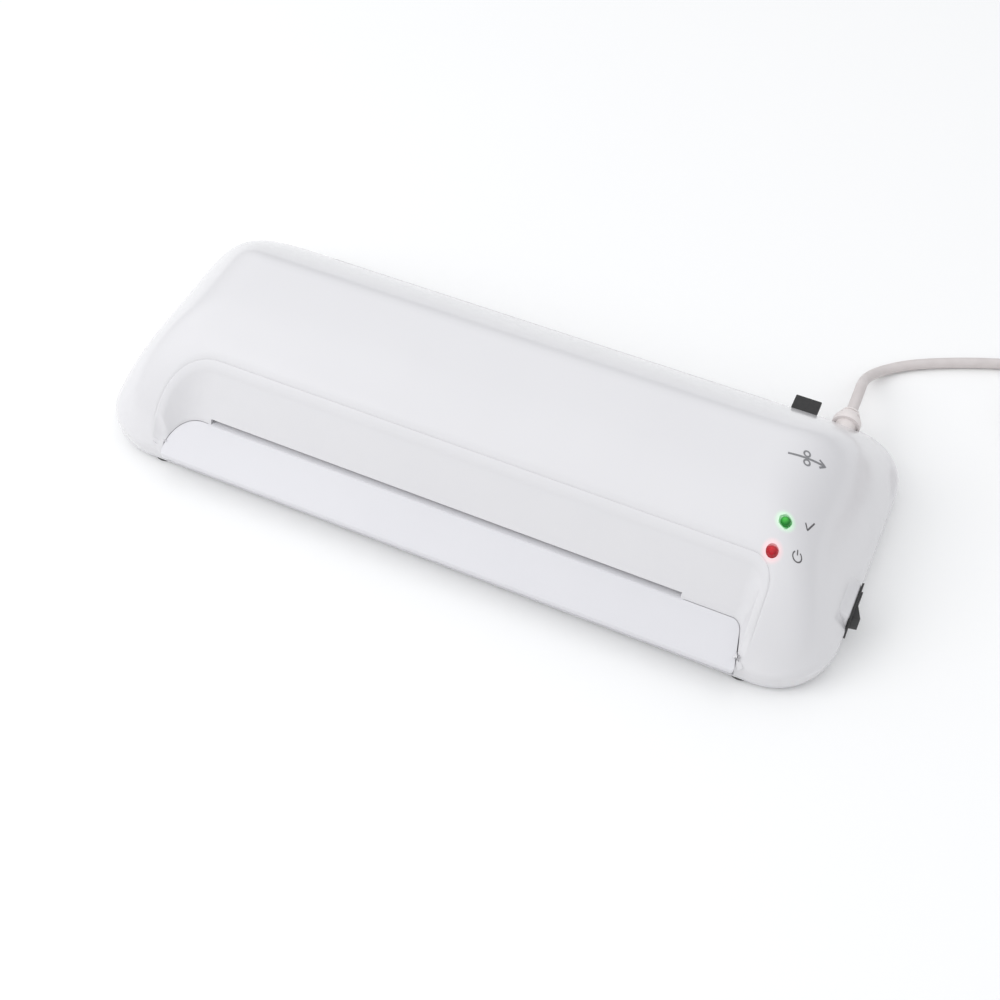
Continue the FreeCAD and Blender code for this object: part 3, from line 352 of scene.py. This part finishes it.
def make_materials():
    """Every finish by its slot's name; colours are linear, sizes in millimetres."""
    made = {
        "cover_white": surface("cover_white", (0.735, 0.728, 0.742), (0.72, 0.713, 0.728), 60,
                               (0.17, 0.24), (0.9, 0.05), Coat_Weight=0.25,
                               Coat_Roughness=0.08),
        "housing_white": surface("housing_white", (0.735, 0.73, 0.755), (0.72, 0.715, 0.741),
                                 45, (0.28, 0.36), (0.7, 0.1)),
        "foot_rubber": surface("foot_rubber", (0.10, 0.10, 0.10), (0.07, 0.07, 0.07), 3,
                               (0.75, 0.9), (0.5, 0.5)),
        "screw_steel": surface("screw_steel", (0.62, 0.62, 0.60), (0.50, 0.50, 0.50), 0.8,
                               (0.25, 0.45), (0.3, 0.2), metallic=1.0),
        "frame_steel": surface("frame_steel", (0.66, 0.68, 0.70), (0.48, 0.50, 0.53), 6,
                               (0.32, 0.5), (0.6, 0.15), metallic=1.0, pattern="cells"),
        "shaft_steel": surface("shaft_steel", (0.72, 0.72, 0.72), (0.55, 0.55, 0.56), 0.6,
                               (0.15, 0.3), (0.25, 0.2), metallic=1.0, stretch=(1, 0.1, 0.1)),
        "silicone": surface("silicone", (0.50, 0.12, 0.08), (0.42, 0.10, 0.07), 5,
                            (0.55, 0.7), (0.35, 0.3)),
        "nylon": surface("nylon", (0.80, 0.78, 0.70), (0.74, 0.72, 0.64), 8, (0.4, 0.55),
                         (0.6, 0.15), Subsurface_Weight=0.1),
        "bronze": surface("bronze", (0.62, 0.42, 0.20), (0.46, 0.30, 0.14), 0.9,
                          (0.3, 0.5), (0.3, 0.35), metallic=1.0),
        "spring_steel": surface("spring_steel", (0.52, 0.52, 0.54), (0.36, 0.36, 0.38), 0.7,
                                (0.2, 0.35), (0.3, 0.15), metallic=1.0),
        "aluminium": surface("aluminium", (0.80, 0.80, 0.81), (0.68, 0.68, 0.70), 1.0,
                             (0.25, 0.42), (0.4, 0.25), metallic=1.0, stretch=(0.03, 1, 1)),
        "mica": surface("mica", (0.58, 0.50, 0.36), (0.40, 0.33, 0.22), 2.5, (0.35, 0.6),
                        (0.8, 0.3)),
        "ceramic": surface("ceramic", (0.78, 0.72, 0.58), (0.66, 0.60, 0.48), 1.2,
                           (0.4, 0.6), (0.4, 0.25)),
        "black_plastic": surface("black_plastic", (0.022, 0.021, 0.021),
                                 (0.012, 0.012, 0.013), 2, (0.28, 0.42), (0.35, 0.2)),
        "board_green": surface("board_green", (0.03, 0.19, 0.08), (0.015, 0.12, 0.05), 2.2,
                               (0.25, 0.4), (1.0, 0.35), pattern="cells"),
        "component": surface("component", (0.05, 0.05, 0.06), (0.025, 0.025, 0.03), 1.5,
                             (0.35, 0.5), (0.4, 0.2)),
        "motor_can": surface("motor_can", (0.60, 0.61, 0.62), (0.47, 0.48, 0.50), 1.2,
                             (0.25, 0.4), (0.4, 0.2), metallic=1.0, stretch=(0.1, 1, 1)),
        "cord_grey": surface("cord_grey", (0.66, 0.615, 0.605), (0.61, 0.565, 0.555), 7,
                             (0.42, 0.55), (0.5, 0.15)),
        "relief_grey": surface("relief_grey", (0.78, 0.73, 0.715), (0.74, 0.69, 0.675), 5,
                               (0.4, 0.5), (0.5, 0.12)),
        "print_grey": surface("print_grey", (0.13, 0.12, 0.125), (0.09, 0.085, 0.09), 0.6,
                              (0.45, 0.6), (0.2, 0.2)),
        "badge_grey": surface("badge_grey", (0.25, 0.25, 0.26), (0.21, 0.21, 0.22), 0.8,
                              (0.35, 0.5), (0.2, 0.2)),
        "lamp_green": lamp_material("lamp_green", "ready_lamp", (0.0, 0.16, 0.01),
                                    (0.06, 0.50, 0.05), 0.8),
        "lamp_red": lamp_material("lamp_red", "power_lamp", (0.42, 0.0, 0.01),
                                  (0.55, 0.01, 0.015), 0.45),
    }
    add_glow(made["cover_white"], [("ready_lamp", (0.01, 0.26, 0.03)),
                                   ("power_lamp", (0.24, 0.015, 0.02))])
    return made


# ---- the top cover ----------------------------------------------------------------------
# The skin is a grid. Each column starts on the parting line with the tray, climbs the
# recess's wall, rolls over the lip, crosses the groove beside it and runs over the dome to
# the outline, then down the skirt.

FRONT_END_Y = -72.6
FRONT_FADE = 6.0
TRAY_LEFT = ((-126.6, -76.0), 16.0)
TRAY_RIGHT = ((138.13, -65.0), 5.0)
TRAY_RIGHT_ANGLE = 14.5
TRAY_FRONT_RIGHT = (145.8, FRONT_END_Y)
LIP_LEFT = ((-121.2, -72.5), 25.0)
LIP_RIGHT = ((138.7, -55.0), 7.5)
LEFT_COUNT, BACK_COUNT, RIGHT_COUNT, SIDE_COUNT = 70, 150, 36, 40
END_COUNT = 5
LIP_REACH = 2.7
GROOVE_WIDTH, GROOVE_DEPTH = 0.6, 0.4
WALL_ROWS, ROLL_ROWS, DOME_ROWS, CREASE_ROWS = 10, 8, 46, 5
RIM_INSET = 1.7
SKIRT_ROWS_Z = (11.2, 9.0, 7.0, 5.2, SKIRT_BOTTOM_Z + 0.5)
SKIRT_ROUND = ((0.12, 0.14), (0.5, 0.0))
REAR_LEFT_SHARE, RIGHT_SIDE_SHARE = 0.4, 0.45
CHEEK_EDGE = 0.2
SKIN_WELD = 0.004
ROLL_DROP, ROLL_SHARE = 3.4, 0.45
LIFT, LIFT_SHARE = 0.35, 0.3
FOOT_SET_BACK = 0.12
EVEN_SHARE = 0.55
PARTING_GAP = 0.05


def parting_line():
    """Points where the recess's wall meets the tray, from the front left round."""
    (left, left_r), (right, right_r) = TRAY_LEFT, TRAY_RIGHT
    start = 180 - math.degrees(math.asin((FRONT_END_Y - left[1]) / left_r))
    found = arc(left, left_r, start, 90, LEFT_COUNT)
    back_y = left[1] + left_r
    found += line((left[0], back_y), (right[0], back_y), (0, 1), BACK_COUNT)
    found += arc(right, right_r, 90, TRAY_RIGHT_ANGLE, RIGHT_COUNT)
    found += line(found[-1][0], TRAY_FRONT_RIGHT, found[-1][1], SIDE_COUNT)
    return [point for point, _ in found]


def lip_line():
    """Points and outward directions along the edge where wall and dome would meet."""
    (left, left_r), (right, right_r) = LIP_LEFT, LIP_RIGHT
    start = 180 + math.degrees(math.asin((left[1] - FRONT_END_Y) / left_r))
    found = arc(left, left_r, start, 90, LEFT_COUNT)
    back_y = left[1] + left_r
    found += line((left[0], back_y), (right[0], back_y), (0, 1), BACK_COUNT)
    found += arc(right, right_r, 90, 0, RIGHT_COUNT)
    side_x = right[0] + right_r
    found += line((side_x, right[1]), (side_x, FRONT_END_Y), (1, 0), SIDE_COUNT)
    return found


def outline_at(distance, inset):
    """A point on the casing's outline, measured round from the front left end."""
    x, y = HALF_LENGTH, HALF_DEPTH
    front, rear = FRONT_CORNER_R, REAR_CORNER_R
    stub_x = LIP_RIGHT[0][0] + LIP_RIGHT[1] + LIP_REACH + GROOVE_WIDTH
    parts = [
        ("line", (-stub_x, -y), (-x + front, -y), (0, -1)),
        ("arc", (-x + front, -y + front), front, 270, 180),
        ("line", (-x, -y + front), (-x, y - rear), (-1, 0)),
        ("arc", (-x + rear, y - rear), rear, 180, 90),
        ("line", (-x + rear, y), (x - rear, y), (0, 1)),
        ("arc", (x - rear, y - rear), rear, 90, 0),
        ("line", (x, y - rear), (x, -y + front), (1, 0)),
        ("arc", (x - front, -y + front), front, 360, 270),
        ("line", (x - front, -y), (stub_x, -y), (0, -1)),
    ]
    for i, part in enumerate(parts):
        if part[0] == "line":
            _, start, end, way = part
            length = math.dist(start, end)
        else:
            _, centre, radius, start, end = part
            length = math.radians(abs(end - start)) * radius
        if distance <= length or i == len(parts) - 1:
            break
        distance -= length
    share = min(distance / length, 1.0)
    if part[0] == "line":
        px, py = lerp(start, end, share)
        return px - way[0] * inset, py - way[1] * inset
    angle = math.radians(start + (end - start) * share)
    reach = radius - inset
    return centre[0] + reach * math.cos(angle), centre[1] + reach * math.sin(angle)


def outline_stations():
    """How far round the outline each column of the skin ends."""
    x, y = 2 * HALF_LENGTH, 2 * HALF_DEPTH
    corner = math.pi / 2
    side = y - FRONT_CORNER_R - REAR_CORNER_R
    stub = HALF_LENGTH - FRONT_CORNER_R
    stub -= LIP_RIGHT[0][0] + LIP_RIGHT[1] + LIP_REACH + GROOVE_WIDTH
    to_rear = stub + corner * FRONT_CORNER_R + side
    rear_left = to_rear + REAR_LEFT_SHARE * corner * REAR_CORNER_R
    whole = 2 * to_rear + 2 * corner * REAR_CORNER_R + x - 2 * REAR_CORNER_R
    rear_right = whole - rear_left
    right_side = whole - stub - corner * FRONT_CORNER_R - RIGHT_SIDE_SHARE * side
    stations = [rear_left * i / (LEFT_COUNT - 1) for i in range(LEFT_COUNT)]
    for count, start, end in ((BACK_COUNT, rear_left, rear_right),
                              (RIGHT_COUNT, rear_right, right_side),
                              (SIDE_COUNT, right_side, whole)):
        stations += [start + (end - start) * (i + 1) / count for i in range(count)]
    return stations


def bezier(a, b, c, t):
    """A point on the curve that leaves a towards b and arrives at c."""
    return lerp(lerp(a, b, t), lerp(b, c, t), t)


def skirt_rows(edge):
    """Rows from the dome's rim over the soft crease to the skirt's rounded bottom.

    edge gives the outline's point for an inset.
    """
    rim = edge(RIM_INSET)
    top = (*rim, dome_z(*rim))
    bend = (*edge(0.0), CREASE_Z + CREASE_BAND / 2)
    height = CREASE_Z - SKIRT_BOTTOM_Z

    def skirt(z):
        return (*edge(SKIRT_INSET * (CREASE_Z - z) / height), z)
    first = skirt(SKIRT_ROWS_Z[0])
    rows = [bezier(top, bend, first, i / CREASE_ROWS) for i in range(1, CREASE_ROWS)]
    rows += [skirt(z) for z in SKIRT_ROWS_Z]
    rows += [(*edge(SKIRT_INSET + inset), SKIRT_BOTTOM_Z + rise) for inset, rise in SKIRT_ROUND]
    return rows


def skin_column(parting, lip, way, station):
    """One column of the cover's skin, in millimetres.

    The lip and the groove fade out towards the casing's front edge.
    """
    foot = (*parting, tray_z(parting[1]) + PARTING_GAP)
    fade = min((lip[1] - FRONT_END_Y) / FRONT_FADE, 1.0)
    peak = (*lip, foot[2] + max(dome_z(*lip) - foot[2], 0.0) * fade)
    drop = math.dist(foot, peak)
    wall_top = lerp(peak, foot, min(ROLL_SHARE, ROLL_DROP / drop))

    def outward(reach):
        return lip[0] + way[0] * reach, lip[1] + way[1] * reach
    roll_end = (*outward(LIP_REACH), dome_z(*outward(LIP_REACH)))
    lift = lerp(foot, wall_top, min(LIFT_SHARE, LIFT / drop))
    rows = [(foot[0] + way[0] * FOOT_SET_BACK, foot[1] + way[1] * FOOT_SET_BACK, foot[2]),
            lift]
    rows += [lerp(lift, wall_top, i / WALL_ROWS) for i in range(1, WALL_ROWS)]
    rows += [bezier(wall_top, peak, roll_end, i / ROLL_ROWS) for i in range(ROLL_ROWS + 1)]
    groove = outward(LIP_REACH + GROOVE_WIDTH / 2)
    start = outward(LIP_REACH + GROOVE_WIDTH)
    rows.append((*groove, dome_z(*groove) - GROOVE_DEPTH * fade))
    end = outline_at(station, RIM_INSET)
    for i in range(DOME_ROWS + 1):
        share = i / DOME_ROWS
        share = EVEN_SHARE * share + (1 - EVEN_SHARE) * (1 - (1 - share) ** 2)
        point = lerp(start, end, share)
        rows.append((*point, dome_z(*point)))
    return rows + skirt_rows(lambda inset: outline_at(station, inset))


def end_column(column, x):
    """The upright edge of a cheek beside the tray, with as many rows as column."""
    top = column[1]
    low = (x, -HALF_DEPTH, CREASE_Z + CREASE_BAND)
    wall = 1 + WALL_ROWS
    above = wall + ROLL_ROWS + 1 + 1 + DOME_ROWS + 1
    rows = [top] * wall
    span = above - wall
    rows += [lerp(top, low, (i + 1) / span) for i in range(span)]
    return rows + skirt_rows(lambda inset: (x, -HALF_DEPTH + max(inset, 0.0)))


def cover_columns():
    """The skin's columns from the left cheek's front end round to the right one's."""
    columns = []
    for parting, (lip, way), station in zip(parting_line(), lip_line(), outline_stations()):
        columns.append(skin_column(parting, lip, way, station))
    for at_start in (True, False):
        beside = columns[0] if at_start else columns[-1]
        x = beside[1][0] + (-CHEEK_EDGE if at_start else CHEEK_EDGE)
        edge = end_column(beside, x)
        added = [[lerp(a, b, i / END_COUNT) for a, b in zip(edge, beside)]
                 for i in range(END_COUNT)]
        columns = added + columns if at_start else columns + added[::-1]
    return columns


def shell_from_grid(columns, thickness):
    """A closed shell: the grid as its skin, and the same grid set back along the normals.

    The end columns come to a point, so they take the normals of the columns beside them.
    """
    bm = bmesh.new()
    outer = [[bm.verts.new(at(*p)) for p in column] for column in columns]
    rows = len(columns[0])
    for a, b in zip(outer, outer[1:]):
        for j in range(rows - 1):
            bm.faces.new((b[j], b[j + 1], a[j + 1], a[j]))
    bm.normal_update()
    ways = [[v.normal.copy() for v in column] for column in outer]
    ways[0], ways[-1] = ways[1], ways[-2]
    inner = [[bm.verts.new(v.co - way * thickness * MM) for v, way in zip(column, row)]
             for column, row in zip(outer, ways)]
    for a, b in zip(inner, inner[1:]):
        for j in range(rows - 1):
            bm.faces.new((a[j], a[j + 1], b[j + 1], b[j]))
    for i in range(len(columns) - 1):
        for j in (0, rows - 1):
            bm.faces.new((outer[i][j], outer[i + 1][j], inner[i + 1][j], inner[i][j]))
    for column, back in ((outer[0], inner[0]), (outer[-1], inner[-1])):
        for j in range(rows - 1):
            bm.faces.new((column[j], column[j + 1], back[j + 1], back[j]))
    bmesh.ops.remove_doubles(bm, verts=bm.verts, dist=SKIN_WELD * MM)
    bmesh.ops.recalc_face_normals(bm, faces=bm.faces)
    return bm


PAD_HALF_Y, PAD_HALF_Z = 10.1, 7.1
PAD_FACE_X = 183.6
PAD_BACK_X = 171.0
PAD_RISE = 0.68
PAD_ROUND = 1.2
SWITCH_OPENING = (9.7, 6.6)
RELIEF_HOLE_R = 5.6
LAMP_HOLE_R = 2.65
ENTRY_CUT_Z = (20, SLOT_TOP_Z)
EXIT_SLOT_Z = (25.2, 31.4)
LEVER_SLOT_Z = (15.4, 27.0)
LEVER_GAP = 0.8
SLOT_CUT_Y = (-72, -42)
REAR_CUT_Y = (48, 90)
SIDE_CUT_X = (168, 190)
LAMP_CUT_Z = (44, 80)
SHARP_ANGLE = 55


def switch_pad(y, z):
    """The flat round the switch, with a roof that slopes back into the dome."""
    bm = bmesh.new()
    rise = PAD_RISE * (PAD_FACE_X - PAD_BACK_X)
    for x, lift in ((PAD_FACE_X, 0.0), (PAD_BACK_X, rise)):
        for side in (-1, 1):
            for height in (z - PAD_HALF_Z, z + PAD_HALF_Z + lift):
                bm.verts.new(at(x, y + side * PAD_HALF_Y, height))
    bmesh.ops.convex_hull(bm, input=bm.verts)
    bmesh.ops.dissolve_limit(bm, angle_limit=math.radians(1), verts=bm.verts, edges=bm.edges)
    bmesh.ops.bevel(bm, geom=list(bm.edges), offset=PAD_ROUND * MM, segments=4,
                    profile=0.5, affect="EDGES")
    return bm


def make_cover(material):
    """The cover's shell with the switch's pad on it and its openings cut out."""
    mesh = mesh_from("top_cover_shell", shell_from_grid(cover_columns(), WALL))
    cover = new_piece("top_cover_shell", mesh, "housing", material)
    _, y, z = centre_of("switch_body")
    combine(cover, switch_pad(y, z), "UNION")
    cuts = bmesh.new()
    block(cuts, (SLOT_X[0], SLOT_CUT_Y[0], ENTRY_CUT_Z[0]),
          (SLOT_X[1], SLOT_CUT_Y[1], ENTRY_CUT_Z[1]))
    start, end = REAR_CUT_Y
    block(cuts, (SLOT_X[0], start, EXIT_SLOT_Z[0]), (SLOT_X[1], end, EXIT_SLOT_Z[1]))
    low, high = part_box("release_lever")
    left, right = ((v - MIDDLE.x) / MM for v in (low.x, high.x))
    block(cuts, (left - LEVER_GAP, start, LEVER_SLOT_Z[0]),
          (right + LEVER_GAP, end, LEVER_SLOT_Z[1]))
    half_y, half_z = SWITCH_OPENING
    block(cuts, (SIDE_CUT_X[0], y - half_y, z - half_z),
          (SIDE_CUT_X[1], y + half_y, z + half_z))
    x, _, z = centre_of("strain_relief")
    drum(cuts, (x, start, z), (x, end, z), RELIEF_HOLE_R)
    for lamp in ("ready_lamp", "power_lamp"):
        x, y, _ = centre_of(lamp)
        drum(cuts, (x, y, LAMP_CUT_Z[0]), (x, y, LAMP_CUT_Z[1]), LAMP_HOLE_R)
    combine(cover, cuts, "DIFFERENCE")
    smooth(cover.data, SHARP_ANGLE)
    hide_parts("top_cover")


# ---- pieces softened from their CAD shape -----------------------------------------------
CAD_WELD = 0.002
FLAT_ANGLE, EDGE_ANGLE, SHADE_ANGLE = 0.5, 35, 32


def soften(node, name, width, segments, material):
    """A copy of a CAD node with its edges rounded, which stands for the node."""
    source = frame["nodes"][node]
    mesh = source.data.copy()
    mesh.name = name
    bm = bmesh.new()
    bm.from_mesh(mesh)
    bmesh.ops.remove_doubles(bm, verts=bm.verts, dist=CAD_WELD * MM)
    bmesh.ops.dissolve_limit(bm, angle_limit=math.radians(FLAT_ANGLE), verts=bm.verts,
                             edges=bm.edges)
    clean = mesh_from(name, bm)
    bpy.data.meshes.remove(mesh)
    piece = new_piece(name, clean, source["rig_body"], material)
    edge = piece.modifiers.new("edge", "BEVEL")
    edge.width = width * MM
    edge.segments = segments
    edge.limit_method = "ANGLE"
    edge.angle_limit = math.radians(EDGE_ANGLE)
    settle(piece)
    smooth(piece.data, SHADE_ANGLE)
    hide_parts(node)
    return piece


# ---- printed marks ----------------------------------------------------------------------
# A mark is a thin layer that follows the dome. Its drawing is in millimetres across (u)
# and up (v) from its own centre, turned in plan by MARK_TURN.

PRINT_LIFT = 0.03
PRINT_THICKNESS = 0.05
PRINT_STEP = 0.35
MARK_TURN = math.radians(17)


def print_stroke(bm, path_uv, width, centre, closed=False):
    """A ribbon of even width along a path, laid on the dome."""
    path_uv = [(u * math.cos(MARK_TURN) - v * math.sin(MARK_TURN),
                u * math.sin(MARK_TURN) + v * math.cos(MARK_TURN)) for u, v in path_uv]
    dense = []
    ends = list(zip(path_uv, path_uv[1:] + path_uv[:1])) if closed else \
        list(zip(path_uv, path_uv[1:]))
    for a, b in ends:
        count = max(1, round(math.dist(a, b) / PRINT_STEP))
        dense += [lerp(a, b, i / count) for i in range(count)]
    if not closed:
        dense.append(path_uv[-1])
    rails = []
    for i, (u, v) in enumerate(dense):
        before = dense[i - 1] if i or closed else dense[i]
        after = dense[(i + 1) % len(dense)] if i + 1 < len(dense) or closed else dense[i]
        du, dv = after[0] - before[0], after[1] - before[1]
        scale = width / 2 / math.hypot(du, dv)
        pair = []
        for side in (-1, 1):
            x = centre[0] + u - side * dv * scale
            y = centre[1] + v + side * du * scale
            pair.append(bm.verts.new(at(x, y, dome_z(x, y) + PRINT_LIFT)))
        rails.append(pair)
    joined = list(zip(rails, rails[1:] + rails[:1])) if closed else list(zip(rails, rails[1:]))
    for a, b in joined:
        bm.faces.new((a[0], b[0], b[1], a[1]))


def finish_print(bm, name, material):
    """Gives the drawn layer its thickness and makes a piece of it."""
    drawn = list(bm.faces)
    raised = bmesh.ops.extrude_face_region(bm, geom=drawn)["geom"]
    for v in raised:
        if isinstance(v, bmesh.types.BMVert):
            v.co.z += PRINT_THICKNESS * MM
    bmesh.ops.recalc_face_normals(bm, faces=bm.faces)
    return new_piece(name, mesh_from(name, bm), "housing", material)


def ring(radius, start, end, count):
    """Points along an arc round the origin, angles in degrees."""
    return [(radius * math.cos(math.radians(start + (end - start) * i / count)),
             radius * math.sin(math.radians(start + (end - start) * i / count)))
            for i in range(count + 1)]


READY_MARK = (156.6, -23.6)
POWER_MARK = (155.6, -38.8)
BADGE = (144.3, 6.0)
TICK = [(-2.6, 1.2), (-1.6, -1.6), (1.6, 3.4)]
TICK_WIDTH, POWER_WIDTH = 0.62, 0.5
POWER_RING = ring(2.0, 125, 415, 30)
POWER_BAR = [(0, 0.5), (0, 2.6)]
ROLLER_RING = ring(1.35, 0, 360, 24)[:-1]
ROLLER_OFFSET, ROLLER_WIDTH = 2.2, 0.8
SHEET = [(-8.5, 0), (8.5, 0)]
ARROW_HEAD = [(5.8, 1.9), (8.6, 0), (5.8, -1.9)]
SHEET_WIDTH, HEAD_WIDTH = 1.0, 0.9


def make_marks(materials):
    """A tick, a power sign, and a badge that shows a sheet between two rollers."""
    tick = bmesh.new()
    print_stroke(tick, TICK, TICK_WIDTH, READY_MARK)
    finish_print(tick, "ready_mark", materials["print_grey"])
    power = bmesh.new()
    print_stroke(power, POWER_RING, POWER_WIDTH, POWER_MARK)
    print_stroke(power, POWER_BAR, POWER_WIDTH, POWER_MARK)
    finish_print(power, "power_mark", materials["print_grey"])
    badge = bmesh.new()
    for side in (-1, 1):
        roller = [(u, v + side * ROLLER_OFFSET) for u, v in ROLLER_RING]
        print_stroke(badge, roller, ROLLER_WIDTH, BADGE, closed=True)
    print_stroke(badge, SHEET, SHEET_WIDTH, BADGE)
    print_stroke(badge, ARROW_HEAD, HEAD_WIDTH, BADGE)
    finish_print(badge, "badge_mark", materials["badge_grey"])


# ---- mains lead ---------------------------------------------------------------------------

CORD_R = 2.7
CORD_EXIT = (151.2, 75.0, 24.0)
TABLE_Z = CORD_R + 0.1
CORD_ROUTE = [
    CORD_EXIT,
    (151.0, 91.0, 22.6),
    (150.0, 105.0, 14.4),
    (150.8, 118.0, 7.0),
    (157.2, 130.0, 3.2),
    (168.6, 139.6, TABLE_Z),
    (187.0, 149.4, TABLE_Z),
    (209.0, 158.9, TABLE_Z),
    (234.0, 166.6, TABLE_Z),
    (259.5, 170.6, TABLE_Z),
]
COIL_CENTRE = (262.0, 134.0)
COIL_OUTER_R = 36.9
TURN_PITCH = 5.5
POINTS_A_TURN = 16
LAYER_RISE = 5.5
LOWER_TURNS = 2.4
RISE_TURNS = 0.4
ALL_TURNS = 5
PLUG_ROUTE = [
    (260.4, 170.2, 9.0),
    (271.0, 167.5, 11.0),
    (279.4, 160.6, 13.6),
    (284.0, 150.7, 16.4),
    (284.0, 140.5, 17.7),
    (284.0, 134.0, 17.7),
]


def coil_route():
    """Turns that wind inwards on the table, climb, and wind outwards on top of those."""
    middle = math.cos(math.pi / POINTS_A_TURN)
    points = []
    for i in range(1, ALL_TURNS * POINTS_A_TURN):
        turn = i / POINTS_A_TURN
        if turn < LOWER_TURNS + RISE_TURNS / 2:
            radius = COIL_OUTER_R - TURN_PITCH * turn
        else:
            inmost = COIL_OUTER_R - TURN_PITCH * (LOWER_TURNS + RISE_TURNS / 2)
            radius = inmost + TURN_PITCH * (turn - LOWER_TURNS - RISE_TURNS / 2)
        climb = min(max((turn - LOWER_TURNS) / RISE_TURNS, 0.0), 1.0)
        angle = math.pi / 2 - 2 * math.pi * turn
        points.append((COIL_CENTRE[0] + radius / middle * math.cos(angle),
                       COIL_CENTRE[1] + radius / middle * math.sin(angle),
                       TABLE_Z + LAYER_RISE * climb))
    return points


def make_cord(materials):
    """The lead with its coil, its plug and its strain relief."""
    plug = soften("power_plug", "mains_plug", 0.35, 2, materials["cord_grey"])
    route = CORD_ROUTE + coil_route() + PLUG_ROUTE
    curve = bpy.data.curves.new("mains_lead", "CURVE")
    curve.dimensions = "3D"
    spline = curve.splines.new("NURBS")
    spline.points.add(len(route) - 1)
    for point, place in zip(spline.points, route):
        point.co = (*at(*place), 1)
    spline.order_u = 3
    spline.use_endpoint_u = True
    spline.resolution_u = 8
    curve.bevel_depth = CORD_R * MM
    curve.bevel_resolution = 6
    curve.use_fill_caps = True
    lead = bpy.data.objects.new("mains_lead", curve)
    bpy.context.scene.collection.objects.link(lead)
    curve.materials.append(materials["cord_grey"])
    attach(lead, "housing")
    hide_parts("power_cord", "cord_coil")
    relief = soften("strain_relief", "cord_relief", 0.5, 3, materials["relief_grey"])


# ---- stage ------------------------------------------------------------------------------
FLOOR_HALF_SIZE = 6.0
HORIZON_LIGHT, OVERHEAD_LIGHT = 0.36, 1.1
OVERHEAD_FROM = 0.8
KEY_PLACE, KEY_AIM = (-1.0, -0.8, 1.1), (0, 0, 0.03)
KEY_SIZE, KEY_POWER = (0.9, 0.9), 8.5


def make_floor():
    """A plain white table, which isn't part of the machine."""
    bm = bmesh.new()
    bmesh.ops.create_grid(bm, x_segments=8, y_segments=8, size=FLOOR_HALF_SIZE)
    mesh = mesh_from("floor", bm)
    floor = bpy.data.objects.new("floor", mesh)
    bpy.context.scene.collection.objects.link(floor)
    mesh.materials.append(surface("floor_paint", (0.93, 0.93, 0.925), (0.92, 0.92, 0.915),
                                  400, (0.6, 0.7), (4, 0.02)))


def make_key_light():
    """One broad lamp from the front left, left out of the reflections."""
    data = bpy.data.lights.new("key", "AREA")
    data.shape = "RECTANGLE"
    data.size, data.size_y = KEY_SIZE
    data.energy = KEY_POWER
    light = bpy.data.objects.new("key", data)
    light.location = KEY_PLACE
    aim = Vector(KEY_AIM) - Vector(KEY_PLACE)
    light.rotation_euler = aim.to_track_quat("-Z", "Y").to_euler()
    light.visible_glossy = False
    bpy.context.scene.collection.objects.link(light)


def make_world():
    """A white room, brighter overhead than at the horizon."""
    world = bpy.data.worlds.new("studio")
    world.use_nodes = True
    nodes, links = world.node_tree.nodes, world.node_tree.links
    back = nodes["Background"]
    back.inputs["Color"].default_value = (0.97, 0.98, 1.0, 1)
    place = nodes.new("ShaderNodeTexCoord")
    parts = nodes.new("ShaderNodeSeparateXYZ")
    links.new(place.outputs["Generated"], parts.inputs["Vector"])
    fade = map_range(nodes, links, parts.outputs["Z"], (0.0, OVERHEAD_FROM),
                     (HORIZON_LIGHT, OVERHEAD_LIGHT))
    links.new(fade.outputs["Result"], back.inputs["Strength"])
    bpy.context.scene.world = world


CAMERA_PLACE = (0.1873, -0.3992, 0.5375)
CAMERA_YAW, CAMERA_PITCH, CAMERA_ROLL = 25.24, 52.38, -0.52
CAMERA_LENS = 51.12


def make_camera():
    """The photo's viewpoint."""
    yaw, pitch, roll = (math.radians(a) for a in (CAMERA_YAW, CAMERA_PITCH, CAMERA_ROLL))
    ahead = Vector((-math.sin(yaw) * math.cos(pitch), math.cos(yaw) * math.cos(pitch),
                    -math.sin(pitch)))
    right = Vector((math.cos(yaw), math.sin(yaw), 0))
    up = right.cross(ahead)
    across = right * math.cos(roll) + up * math.sin(roll)
    upward = up * math.cos(roll) - right * math.sin(roll)
    data = bpy.data.cameras.new("camera")
    data.sensor_width = 36
    data.lens = CAMERA_LENS
    data.clip_start = 0.02
    camera = bpy.data.objects.new("camera", data)
    turn = Matrix((across, upward, -ahead)).transposed().to_4x4()
    camera.matrix_world = Matrix.Translation(CAMERA_PLACE) @ turn
    bpy.context.scene.collection.objects.link(camera)
    bpy.context.scene.camera = camera


def paint_cad_nodes(materials):
    """Gives each CAD node that stays the finish of its slot."""
    for part in frame["record"]["subparts"]:
        node = frame["nodes"][part["node"]]
        for slot in node.material_slots:
            slot.material = materials[part["material_slot"]]


make_camera()
make_world()
make_key_light()
make_floor()
materials = make_materials()
paint_cad_nodes(materials)
make_cover(materials["cover_white"])
soften("lower_housing", "base_and_tray", 0.45, 3, materials["housing_white"])
soften("release_lever", "lever_arm", 0.45, 3, materials["black_plastic"])
soften("rocker", "switch_rocker", 0.4, 3, materials["black_plastic"])
soften("switch_body", "switch_frame", 0.25, 2, materials["black_plastic"])
soften("rubber_feet", "foot_pads", 0.3, 2, materials["foot_rubber"])
make_marks(materials)
make_cord(materials)
bpy.context.scene.view_settings.view_transform = "Standard"
